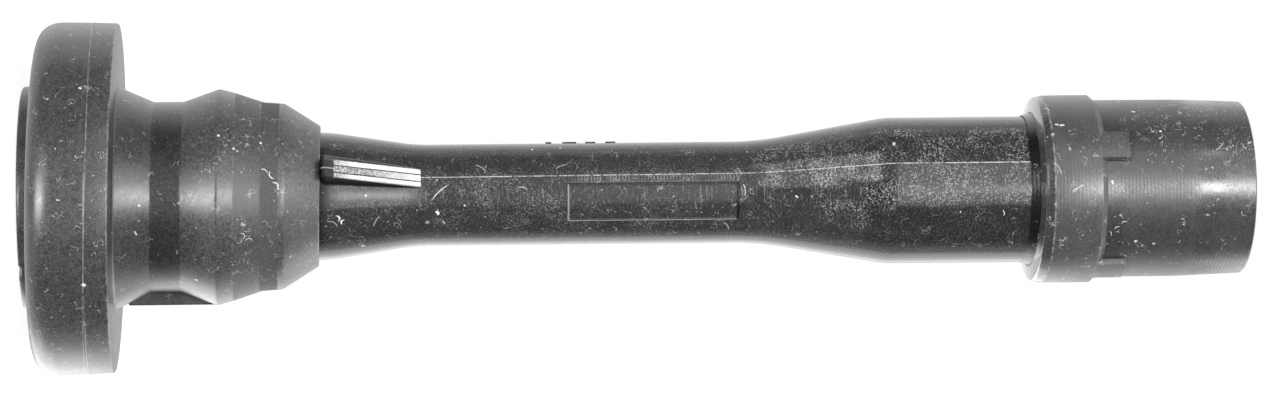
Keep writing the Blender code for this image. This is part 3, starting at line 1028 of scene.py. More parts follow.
        # Painted shade in the ramp's flutes and on its wall, at the panel's edges and beside the boot's
        # lip.
        painted_shade = ramp["groove_and_wall_shade"].math("MAXIMUM", joined(sheet, self.painted_shade_edges))
        layers = [
            (haze, self.haze_colour),
            (grains, self.grain_colour),
            (scratches * 0.4, self.scuff_colour),
            (ticks, self.scuff_colour),
            (fibres * 0.6, self.dust_colour * 0.6),
            (self.parting_line(sheet), self.dust_colour),
            # The ramp's worn top, painted light as a highlight too.
            (ramp["rubbed_and_sheen"] * (sheet.noise(0.5, 2.0) * 0.7 + 0.3), self.dust_colour),
            (ramp["granular"] * grit.smooth(0.9, 0.3), self.colour * 1.5),
            (ramp["nose"] * 0.6, self.colour * 0.5),
            # Painted highlights on the panel's lit edges.
            (joined(sheet, self.lit_edges), self.scuff_colour),
            (specks.math("MAXIMUM", crumbs), self.dust_colour),
            (joined(sheet, self.marks), WEAR_COLOUR),
            # Painted shade.
            (painted_shade, self.colour * 0.3),
            # The seam is a worn line; the thin line along the ramp's base is a painted highlight.
            (ramp["seam"].math("MAXIMUM", ramp["foot_highlight"]), self.scuff_colour),
        ]
        sheet.paint(self.colour, layers)
        rough = haze * 0.25 + grains * 0.25 + self.roughness
        rough = ramp["rubbed_and_sheen"].blend(rough, self.rubbed_roughness) + ramp["granular"] * 0.06
        rough = rough + ramp["nose"] * 0.15
        sheet.roughen(rough + specks.math("MAXIMUM", fibres) * 0.4)
        sheet.feed(sheet.shader.inputs["Coat Weight"], ramp["rubbed_and_sheen"] * (1.0 - ramp["granular"] * 0.7))
        height = grains * 0.5 + scratches * -0.4 + sheet.noise(0.6, 3.0) * 0.1
        sheet.emboss(height - painted_shade * 0.6, 0.014)
        sheet.constant(IOR=1.52, Coat_Roughness=0.06)
        return sheet.material


@dataclass(frozen=True)
class TabCornerShade:
    """Painted shade, with some dirt, in the corners beside and past tabs that repeat round the axis, in
    degrees and millimetres.
    """

    azimuth: float
    pitch: float
    half_width: float
    low: float
    high: float
    skin: float
    spread: float = 0.35
    amount: float = 0.2

    def on(self, sheet: Sheet) -> Value:
        """Their mask on a material.

        Args:
            sheet: The material.

        Returns:
            The mask.
        """
        half = self.pitch / 2
        per_degree = math.radians(1.0) * self.skin
        place = (sheet.azimuth - self.azimuth).math("WRAP", half, -half)
        reach = abs(place) * per_degree
        edge = self.half_width * per_degree
        beside = reach.within(edge - 0.1, edge + self.spread, 0.2)
        beside = beside * sheet.z.within(self.low, self.high + self.spread, 0.2)
        past = sheet.z.within(self.high - 0.1, self.high + self.spread, 0.2)
        past = past * reach.smooth(edge + self.spread, edge)
        low = sheet.radius.smooth(self.skin + 0.3, self.skin + 0.15)
        return beside.math("MAXIMUM", past) * low * self.amount


@dataclass(frozen=True)
class MouldedRubber:
    """Dark grey silicone rubber with a dusty, finely grained skin.

    Its rings lean: each millimetre along +X lowers them by the lean. A flash height of 0 stands for no
    flash, and a ring pitch of 0 for no fine turned ripple.
    """

    name: str
    colour: float
    roughness: float
    patches: tuple[Patch, ...]
    rings: tuple[Ring, ...]
    marks: tuple[Mark, ...]
    stains_and_shadows: tuple[Patch | Mark, ...]
    dust_share: float = 0.2
    dust_colour: float = 0.62
    specular: float = 1.0
    mottle: float = 0.6
    cloud_size: float = 6.0
    grain_size: float = 0.2
    specks: Dust = Dust(0.5, 0.12)
    crumbs: Dust = Dust(1.7, 0.24, 1.1)
    ring_pitch: float = 0.0
    flash_height: float = 0.0
    flash_lean: Pair = (0.031, 0.03)
    flash_colour: float = 0.22
    flash_inner: float = 22.0
    coat_roughness: float = 0.12
    lean: float = 0.0
    tab_corner_shade: TabCornerShade | None = None

    def flash(self, sheet: Sheet) -> Value:
        """The worn line of flash round the flange.

        Args:
            sheet: The material.

        Returns:
            The mask.
        """
        lean_x, lean_y = self.flash_lean
        plane = sheet.z + sheet.x * lean_x + sheet.y * lean_y
        line = abs(plane - self.flash_height).smooth(0.1, 0.05)
        outside = sheet.radius.smooth(self.flash_inner, self.flash_inner + 0.5)
        return line * outside * sheet.noise(1.2, 3.0).smooth(0.3, 0.6)

    def shades(self, sheet: Sheet, rough: Value) -> tuple[Value | float, Value, Value | float]:
        """The rubber's own tone, roughness and coat, ring by ring.

        Args:
            sheet: The material.
            rough: The roughness apart from the rings.

        Returns:
            The tone, the roughness and the coat. The tone and the coat are plain numbers if no ring
            changes them.
        """
        level = sheet.x * self.lean + sheet.z
        own: Value | float = self.colour
        coat: Value | float = 0.0
        for ring in self.rings:
            mask = ring.on(sheet, level)
            if ring.tone != 1.0:
                own = mask.blend(own, self.colour * ring.tone)
            if ring.rougher:
                rough = rough + mask * ring.rougher
            if ring.coat:
                coat = mask * ring.coat + coat
        return own, rough, coat

    def material(self) -> bpy.types.Material:
        """Mixes the material.

        Returns:
            The material.
        """
        sheet = Sheet(self.name)
        cloud = sheet.noise(self.cloud_size, 3.0)
        grit = sheet.grit(self.grain_size, sheet.ruffled(0.3, 0.06))
        busy = joined(sheet, self.patches)
        amount = cloud.smooth(0.45, 0.7) * self.dust_share + busy + 0.1
        specks = sheet.specks(self.specks, amount)
        crumbs = sheet.specks(self.crumbs, busy * 0.6 + 0.08)
        fibres = sheet.fibres(1.0, 0.08, busy * -0.12 + 0.665)
        own, rough, coat = self.shades(sheet, grit * 0.12 + (self.roughness - 0.06))
        own = (cloud.smooth(0.4, 0.75) * 0.2 + grit * self.mottle + (0.95 - self.mottle * 0.5)) * own
        layers: list[tuple[Value, Value | float]] = []
        if self.tab_corner_shade:
            # Painted shade beside and past the tabs, with some dirt.
            layers.append((self.tab_corner_shade.on(sheet), self.colour * 0.5))
        layers.append((fibres * 0.8, self.dust_colour * 0.7))
        if self.flash_height:
            layers.append((self.flash(sheet), self.flash_colour))
        layers.append((specks.math("MAXIMUM", crumbs), self.dust_colour))
        layers.append((joined(sheet, self.marks), WEAR_COLOUR))
        # Stain marks, and on the seal a painted contact shadow round the ramp's nose.
        layers.append((joined(sheet, self.stains_and_shadows), self.colour * 0.3))
        sheet.paint(own, layers)
        sheet.roughen(rough + specks * 0.3)
        if isinstance(coat, Value):
            sheet.feed(sheet.shader.inputs["Coat Weight"], coat)
            sheet.constant(Coat_Roughness=self.coat_roughness)
        height = grit * 0.14 + cloud * 0.3
        if self.ring_pitch:
            height = height + (sheet.z * (math.tau / self.ring_pitch)).math("SINE") * 0.2
        sheet.emboss(height, 0.012)
        sheet.constant(Specular_IOR_Level=self.specular)
        return sheet.material


@dataclass(frozen=True)
class SpringSteel:
    """Bright drawn wire."""

    name: str = "drawn_spring_wire"
    colour: float = 0.55
    roughness: float = 0.3

    def material(self) -> bpy.types.Material:
        """Mixes the material.

        Returns:
            The material.
        """
        sheet = Sheet(self.name)
        drawn = sheet.noise(0.25, 2.0)
        tarnish = sheet.noise(3.0, 3.0).smooth(0.5, 0.8) * 0.5
        sheet.paint(self.colour, [(tarnish, self.colour * 0.45)])
        sheet.roughen(drawn * 0.2 + tarnish * 0.2 + (self.roughness - 0.1))
        sheet.emboss(drawn, 0.004)
        sheet.constant(Metallic=1.0)
        return sheet.material


@dataclass
class HousingTube:
    """The hard tube: bell, stem and plug end, with its ramp, parting lines, panel and pips."""

    finish: TubePlastic = field(default_factory=TubePlastic)
    parting_azimuth: float = PARTING_AZIMUTH
    parting_turn: float = PARTING_TURN
    parting_low: float = 41.5
    parting_high: float = 135.9
    turn_high: float = 55.0
    narrow_skin: float = 6.5
    wide_from: float = 116.0
    wide_skin: float = 9.5
    parting_half_width: float = 0.45
    parting_height: float = 0.06
    steps_round: int = 84
    outside: tuple[Corner, ...] = (
        Corner(15.18, 0.0, 0.5),
        Corner(15.18, 2.49),
        Corner(11.0, 2.49),
        Corner(11.0, 31.94),
        Corner(8.65, 37.94, 0.8),
        Corner(8.62, 41.14, 1.6, 6),
        Corner(6.84, 52.74, 2.0, 6),
        Corner(6.9, 99.24, 3.6, 8),
        Corner(9.97, 116.84, 1.0, 5),
        Corner(10.02, 147.34),
        Corner(9.42, 147.94),
    )
    inside: tuple[Corner, ...] = (
        Corner(7.2, 147.94),
        Corner(6.6, 147.34),
        Corner(6.6, 122.44),
        Corner(3.3, 119.24),
        Corner(3.3, 33.64),
        Corner(4.8, 33.64),
        Corner(4.8, 29.94),
        Corner(9.0, 29.94, 0.6),
        Corner(9.0, 0.6),
        Corner(9.6, 0.0),
    )
    ramp_start: float = RAMP_START
    ramp_end: float = RAMP_END
    ramp_nose_radius: float = 10.55
    ramp_end_radius: float = 7.08
    ramp_root: float = 5.9
    ramp_width: float = 2.42
    ramp_drift: float = 0.34
    ramp_nose_spread: Pair = (3.2, 1.45)
    ramp_end_spread: Pair = (0.6, 0.7)
    ramp_rounding: float = 0.6
    ramp_shoulder: float = 7.9
    flute_places: Pair = FLUTE_PLACES
    flute_start: float = 1.75
    flute_width: float = 0.14
    flute_depth: float = 0.16
    panel_low: float = 73.04
    panel_high: float = 96.19
    panel_first: float = -11.4
    panel_last: float = 31.5
    panel_height: float = 0.22
    panel_rim: float = 0.22
    panel_step: float = 0.1
    pips: tuple[Pair, ...] = ((70.87, 0.8), (73.74, 1.9), (76.6, 1.35), (79.34, 1.35))
    pip_azimuth: float = -97.0
    pip_half_turn: float = 5.0
    pip_height: float = 0.2
    stem_radius: float = 6.87
    trim_root: float = 6.2
    trim_step: float = 2.2
    lip_edge: Pair = (14.6, 0.45)
    nick_azimuth: float = 41.0
    nick_spread: float = 2.5
    nick_depth: float = 0.35

    def body(self) -> Workpiece:
        """The turned tube, with fine meridians at its parting lines.

        Returns:
            The tube, closed.
        """
        line = Sweep(2 * self.parting_half_width, 2)
        half = Sweep(180 - 2 * self.parting_half_width, self.steps_round)
        start = self.parting_azimuth - self.parting_half_width
        outline = rounded([*self.outside, *self.inside])
        return turned("housing_tube_detail", outline, start, (line, half, line, half))

    def on_skin(self, place: Vector, high: float) -> bool:
        """Tells the outer skin from the bore, above the parting lines' lower end.

        Args:
            place: A place on the tube.
            high: The height in millimetres that it has to be below.

        Returns:
            Whether the place is on the skin and between these heights.
        """
        least = self.wide_skin if place.z > self.wide_from * MM else self.narrow_skin
        return self.parting_low * MM < place.z < high * MM and place.xy.length > least * MM

    def raise_parting_lines(self, tube: Workpiece) -> None:
        """Raises the two thin lines that the mould's halves left, and turns the first one's start.

        Args:
            tube: The turned tube.
        """
        for azimuth in (self.parting_azimuth, self.parting_azimuth + 180):
            out = direction(azimuth)

            def on_line(place: Vector, out: Vector = out) -> bool:
                """Whether a place is on this line."""
                off = math.degrees(Vector((place.x, place.y, 0)).angle(out))
                return self.on_skin(place, self.parting_high) and off < AZIMUTH_TOLERANCE

            tube.pick(on_line)
            tube.move(out * self.parting_height * MM)
        near = self.parting_half_width + AZIMUTH_TOLERANCE
        tube.pick(
            lambda p: self.on_skin(p, self.turn_high) and abs(azimuth_of(p) - self.parting_azimuth) < near
        )
        tube.rotate(self.parting_turn, "Z")

    def nick_lip(self, tube: Workpiece) -> None:
        """Chips the lip's edge where the photograph shows a small nick.

        Args:
            tube: The turned tube.
        """
        radius, height = self.lip_edge

        def on_nick(place: Vector) -> bool:
            """Whether a place is on the lip's outer edge and near the nick."""
            on_edge = place.z < height * MM and place.xy.length > radius * MM
            return on_edge and abs(azimuth_of(place) - self.nick_azimuth) < self.nick_spread

        tube.pick(on_nick)
        tube.move(Vector((0, 0, self.nick_depth * MM)))

    def ramp(self) -> Workpiece:
        """The retaining ramp: a drafted wedge, fluted along its top and rounded at its nose.

        Returns:
            The ramp, turned to the parting line.
        """
        long = self.ramp_end - self.ramp_start
        out, up = (self.ramp_nose_radius + self.ramp_root) / 2, (self.ramp_start + self.ramp_end) / 2
        middle = Vector((0, -out, up))
        size = Vector((self.ramp_width, self.ramp_nose_radius - self.ramp_root, long)) * MM
        ramp = Workpiece.block("ramp", middle * MM, size)
        root = -(self.ramp_root + TOLERANCE) * MM
        half_way = middle.z * MM
        for at_nose, spreads in ((True, self.ramp_nose_spread), (False, self.ramp_end_spread)):
            for side, spread in zip((-1, 1), spreads):

                def at_root(place: Vector, at_nose: bool = at_nose, side: int = side) -> bool:
                    """Whether a place is a corner at the ramp's root, on this end and side."""
                    return place.y > root and place.x * side > 0 and (place.z < half_way) == at_nose

                ramp.pick(at_root)
                ramp.move(Vector((side * spread, 0, 0)) * MM)
        ramp.pick(lambda p: p.y < root and p.z > half_way)
        ramp.move(Vector((self.ramp_drift, self.ramp_nose_radius - self.ramp_end_radius, 0)) * MM)
        nose = (self.ramp_start + TOLERANCE) * MM
        ramp.pick(lambda p: p.z < nose and p.y < -self.ramp_shoulder * MM, "EDGE")
        ramp.bevel(self.ramp_rounding * MM, 4)
        self.flute(ramp)
        ramp.close()
        ramp.turn_to(self.parting_azimuth)
        return ramp

    def flute(self, ramp: Workpiece) -> None:
        """Cuts the ramp's two flutes, which drift with it.

        Args:
            ramp: The wedge, facing -Y.
        """
        long = self.ramp_end - self.ramp_start
        across = Vector((1, 0, -self.ramp_drift / long))
        for place in self.flute_places:
            for side in (-0.5, 0.5):
                ramp.slice(Vector((place + side * self.flute_width, 0, self.ramp_start)) * MM, across)
        ramp.slice(Vector((0, 0, self.ramp_start + self.flute_start)) * MM, Vector((0, 0, 1)))
        slope = (self.ramp_nose_radius - self.ramp_end_radius) / long

        def on_flute(place: Vector) -> bool:
            """Tells the flutes' faces.

            Args:
                place: The middle of a face.

            Returns:
                Whether it is on the ramp's top, between the two cuts of one flute.
            """
            past = place.z / MM - self.ramp_start
            middle = place.x / MM - past * self.ramp_drift / long
            between = any(abs(middle - at) < self.flute_width * 0.4 for at in self.flute_places)
            below_top = abs(place.y / MM + self.ramp_nose_radius - slope * past)
            return between and past > self.flute_start and below_top < TOLERANCE

        ramp.pick(on_flute, "FACE")
        ramp.extrude(Vector((0, self.flute_depth * MM, 0)))

    def curved_plate(self, name: str, ends: Pair, sides: Pair, top: float) -> Workpiece:
        """A raised plate that follows the stem.

        Args:
            name: The piece's name.
            ends: The heights of its two ends, in millimetres.
            sides: The azimuths of its two sides.
            top: How far its face is from the axis, in millimetres.

        Returns:
            The plate, closed.
        """
        (low, high), (first, last), root = ends, sides, self.trim_root
        section = ((root, low), (top, low), (top, high), (root, high))
        outline = [(radius * MM, height * MM) for radius, height in section]
        sweep = Sweep(last - first, max(3, round((last - first) / self.trim_step)))
        return turned(name, outline, first, (sweep,), filled=True)

    def panel(self) -> Workpiece:
        """The raised rectangle on the stem, sunken inside its rim.

        Returns:
            The panel.
        """
        top = self.stem_radius + self.panel_height
        ends, sides = (self.panel_low, self.panel_high), (self.panel_first, self.panel_last)
        plate = self.curved_plate("panel", ends, sides, top)
        plate.pick(lambda p: p.xy.length > (top - TOLERANCE) * MM, "FACE")
        bpy.ops.mesh.inset(thickness=self.panel_rim * MM)
        bpy.ops.mesh.inset(thickness=self.panel_step * MM)
        plate.scale_out((top - self.panel_step) / top)
        return plate

    def pip_row(self) -> list[Workpiece]:
        """Plain pips in a row on the far side of the stem's upper edge.

        Returns:
            The pips.
        """
        sides = (self.pip_azimuth - self.pip_half_turn, self.pip_azimuth + self.pip_half_turn)
        top = self.stem_radius + self.pip_height
        return [
            self.curved_plate(f"pip_{number}", (middle - length / 2, middle + length / 2), sides, top)
            for number, (middle, length) in enumerate(self.pips)
        ]

    def build(self) -> bpy.types.Object:
        """Builds and dresses the tube.

        Returns:
            The finished object.
        """
        tube = self.body()
        self.raise_parting_lines(tube)
        self.nick_lip(tube)
        trims = [self.ramp(), self.panel(), *self.pip_row()]
        tube.join([trim.obj for trim in trims])
        obj = tube.finish(self.finish.material(), crease=28.0)
        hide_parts("housing_tube")
        return obj


@dataclass
class CoilSeal:
    """The flange seal at the coil end, with its flash line and the fin across its groove.

    Each millimetre along +X lowers it by its lean.
    """

    finish: MouldedRubber
    steps_round: int = 176
    lean: float = SEAL_LEAN
    corners: tuple[Corner, ...] = (
        Corner(15.38, 1.55, 0.12, 2),
        Corner(23.88, 1.55, 3.8, 12),
        Corner(23.74, 9.22),
        Corner(23.79, 9.32),
        Corner(23.73, 9.42),
        Corner(23.62, 12.44, 0.22, 3),
        Corner(15.05, 12.44, 0.5),
        Corner(12.93, 17.29, 0.2, 3),
        Corner(12.93, 21.29, 0.3, 3),
        Corner(14.63, 26.09, 0.25, 3),
        Corner(14.05, 28.29, 0.3, 3),
        Corner(12.77, 32.09, 0.3, 3),
        Corner(12.58, 34.89, 0.35, 4),
        Corner(9.5, 39.74, 0.18, 3),
        Corner(8.72, 39.74, 0.08, 2),
        Corner(8.86, 37.98),
        Corner(11.2, 32.0),
        Corner(11.2, 2.72),
        Corner(15.38, 2.72),
    )
    fin_thickness: float = 1.6
    fin_inner: float = 12.2
    fin_outer: float = 14.53
    fin_low: float = 14.2
    fin_high: float = 25.9
    fin_rounding: float = 0.18

    def fin(self) -> Workpiece:
        """The fin that fills the groove on the +X side.

        Returns:
            The fin.
        """
        out, up = (self.fin_outer + self.fin_inner) / 2, (self.fin_low + self.fin_high) / 2
        size = Vector((self.fin_outer - self.fin_inner, self.fin_thickness, self.fin_high - self.fin_low))
        fin = Workpiece.block("fin", Vector((out, 0, up)) * MM, size * MM)
        fin.pick(lambda p: p.x > (self.fin_outer - TOLERANCE) * MM, "EDGE")
        fin.bevel(self.fin_rounding * MM, 3)
        return fin

    def build(self) -> bpy.types.Object:
        """Builds and dresses the seal.

        Returns:
            The finished object.
        """
        seal = turned("coil_seal_detail", rounded(self.corners), 0.0, (Sweep(360.0, self.steps_round),))
        seal.join([self.fin().obj])
        obj = seal.finish(self.finish.material(), crease=14.0)
        tilt = Matrix.Identity(4)
        tilt[2][0] = -self.lean
        obj.data.transform(tilt)
        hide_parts("coil_seal")
        return obj


@dataclass
class PlugBoot:
    """The boot at the plug end: lip, fillet, collar with four tabs, body and ribbed bore."""

    finish: MouldedRubber
    tab_count: int = TAB_COUNT
    tab_azimuth: float = TAB_AZIMUTH
    tab_base: float = 20.6
    tab_top: float = 17.4
    tab_low: float = 144.8
    tab_high: float = TAB_HIGH
    tab_floor: float = 12.0
    steps_tab: int = 10
    steps_beside_tab: int = 18
    collar_radius: float = 12.88
    lip_top: float = 138.6
    lip_lean: float = 1.15
    corners: tuple[Corner, ...] = (
        Corner(10.03, 135.72),
        Corner(10.09, 135.7),
        Corner(10.42, 136.85),
        Corner(12.58, 137.22, 0.22, 3),
        Corner(12.84, 138.5),
        Corner(12.87, 141.8),
        Corner(12.88, 144.85, 0.05, 2),
        Corner(12.2, 145.6, 0.05, 2),
        Corner(12.16, 145.68, 0.03, 2),
        Corner(12.15, 148.8),
        Corner(12.15, 157.3, 1.5, 4),
        Corner(11.8, 166.09, 0.3, 4),
        Corner(6.6, 166.09, 0.3, 4),
        Corner(5.7, 164.69, 0.3, 3),
        Corner(5.7, 160.4, 0.6, 4),
        Corner(5.1, 159.2, 0.8, 5),
        Corner(5.7, 158.0, 0.6, 4),
        Corner(5.7, 154.9, 0.6, 4),
        Corner(5.1, 153.7, 0.8, 5),
        Corner(5.7, 152.5, 0.6, 4),
        Corner(5.7, 148.14),
        Corner(10.2, 148.14),
        Corner(10.2, 138.2),
    )

    def sector(self) -> Workpiece:
        """A quarter of the boot with one tab.

        Returns:
            The sector, open at its two sides.
        """
        quarter = 360 / self.tab_count
        beside = Sweep((quarter - self.tab_base) / 2, self.steps_beside_tab)
        start = self.tab_azimuth - quarter / 2
        sweeps = (beside, Sweep(self.tab_base, self.steps_tab), beside)
        boot = turned("plug_boot_detail", rounded(self.corners), start, sweeps)
        half = self.tab_base / 2

        def on_tab(place: Vector) -> bool:
            """Tells the faces that the tab stands on.

            Args:
                place: The middle of a face.

            Returns:
                Whether it is on the outside of the step past the collar, where the tab stands.
            """
            in_step = self.tab_low * MM < place.z < self.tab_high * MM
            outside = place.xy.length > self.tab_floor * MM
            return in_step and outside and abs(azimuth_of(place) - self.tab_azimuth) < half

        boot.pick(on_tab, "FACE")
        boot.extrude(Vector((0, 0, 0)))
        self.shape_tab(boot)
        return boot

    def shape_tab(self, boot: Workpiece) -> None:
        """Lifts the freshly extruded faces to the collar's radius and draws their sides in.

        Args:
            boot: The sector, in edit mode, with these faces selected.
        """
        bpy.ops.object.mode_set(mode="OBJECT")
        places = {vertex.index: vertex.co.copy() for vertex in boot.obj.data.vertices if vertex.select}
        boot.edit()
        half = self.tab_base / 2
        draw_in = (self.tab_base - self.tab_top) / 2
        rows: dict[Pair, list[int]] = {}
        for index, place in places.items():
            off = azimuth_of(place) - self.tab_azimuth
            side = math.copysign(1.0, off) if abs(abs(off) - half) < AZIMUTH_TOLERANCE else 0.0
            if place.xy.length < (self.collar_radius - TOLERANCE) * MM:
                rows.setdefault((side, round(place.xy.length / MM, 3)), []).append(index)
        for (side, radius), indices in rows.items():
            self.select_only(boot, indices)
            boot.scale_out(self.collar_radius / radius)
            if side:
                middle = direction(self.tab_azimuth + side * half) * self.collar_radius * MM
                target = direction(self.tab_azimuth + side * (half - draw_in)) * self.collar_radius * MM
                boot.move(target - middle)

    @staticmethod
    def select_only(piece: Workpiece, indices: Iterable[int]) -> None:
        """Selects vertices by number.

        Args:
            piece: The piece, in edit mode.
            indices: The numbers of the vertices.
        """
        bpy.ops.mesh.select_all(action="DESELECT")
        bpy.ops.object.mode_set(mode="OBJECT")
        for index in indices:
            piece.obj.data.vertices[index].select = True
        bpy.ops.object.mode_set(mode="EDIT")

    def build(self) -> bpy.types.Object:
        """Builds and dresses the boot.

        Returns:
            The finished object.
        """
        boot = self.sector()
        boot.copies(self.tab_count)
        boot.close()
        boot.pick(lambda p: p.z < self.lip_top * MM)
        boot.rotate(self.lip_lean, "Y", (0, 0, self.lip_top * MM))
        obj = boot.finish(self.finish.material(), crease=24.0)
        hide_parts("plug_boot")
        return obj


@dataclass
class ContactSpring:
    """The coiled wire between the coil's tower and the plug's terminal."""

    finish: SpringSteel = field(default_factory=SpringSteel)
    wire_radius: float = 0.4
    coil_radius: float = 2.6
    seat_radius: float = 4.1
    base: float = 30.34
    tip: float = 137.04
    seat_pitch: float = 1.3
    tip_pitch: float = 1.0
    end_turns: int = 2
    open_turns: int = 23
    points_per_turn: int = 24

    def path(self) -> list[Vector]:
        """The wire's centre line: wide seat turns, open turns, then closed turns at the tip.

        Returns:
            Its points, in metres.
        """
        rise = self.tip - self.base - self.end_turns * (self.seat_pitch + self.tip_pitch)
        open_pitch = rise / self.open_turns
        total = 2 * self.end_turns + self.open_turns
        points = []
        for step in range(total * self.points_per_turn + 1):
            turns = step / self.points_per_turn
            seat = min(turns, self.end_turns)
            middle = min(max(turns - self.end_turns, 0), self.open_turns)
            end = max(turns - self.end_turns - self.open_turns, 0)
            height = self.base + seat * self.seat_pitch + middle * open_pitch + end * self.tip_pitch
            narrowing = min(max(turns - (self.end_turns - 1), 0), 1)
            radius = self.seat_radius + (self.coil_radius - self.seat_radius) * narrowing
            angle = math.tau * turns
            points.append(Vector((radius * math.cos(angle), radius * math.sin(angle), height)) * MM)
        return points

    def build(self) -> bpy.types.Object:
        """Builds and dresses the spring.

        Returns:
            The finished object.
        """
        curve = bpy.data.curves.new("contact_spring_detail", "CURVE")
        curve.dimensions = "3D"
        curve.bevel_depth = self.wire_radius * MM
        curve.bevel_resolution = 3
        curve.use_fill_caps = True
        points = self.path()
        wire = curve.splines.new("POLY")
        wire.points.add(len(points) - 1)
        for place, target in zip(points, wire.points):
            target.co = (*place, 1)
        obj = bpy.data.objects.new("contact_spring_detail", curve)
        bpy.context.scene.collection.objects.link(obj)
        Workpiece.hold(obj)
        bpy.ops.object.convert(target="MESH")
        piece = Workpiece("contact_spring_detail")
        piece.close()
        obj = piece.finish(self.finish.material(), crease=50.0)
        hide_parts("contact_spring")
        return obj


@dataclass(frozen=True)
class Lamp:
    """A soft lamp on a sphere round the part.

    Its angles are in degrees, its size and distance in metres, and its radiance is relative to a white
    background.
    """

    name: str
    azimuth: float
    elevation: float
    width: float
    height: float
    radiance: float
    distance: float = 0.95

    def build(self, aim: Vector) -> None:
        """Hangs the lamp, turned towards a place and upright along the part.

        Args:
            aim: What it lights.
        """
        data = bpy.data.lights.new(self.name, "AREA")
        data.shape = "RECTANGLE"
        data.size = self.width
        data.size_y = self.height
        data.energy = WATTS_PER_RADIANCE * self.width * self.height * self.radiance
        lamp = bpy.data.objects.new(self.name, data)
        bpy.context.scene.collection.objects.link(lamp)
        flat = direction(self.azimuth) * math.cos(math.radians(self.elevation))
        way = flat + Vector((0, 0, math.sin(math.radians(self.elevation))))
        across = Vector((0, 0, 1)).cross(way).normalized()
        upright = way.cross(across).normalized()
        place = Matrix((across, upright, way)).transposed().to_4x4()
        place.translation = aim + way * self.distance
        lamp.matrix_world = place
        lamp.visible_camera = False


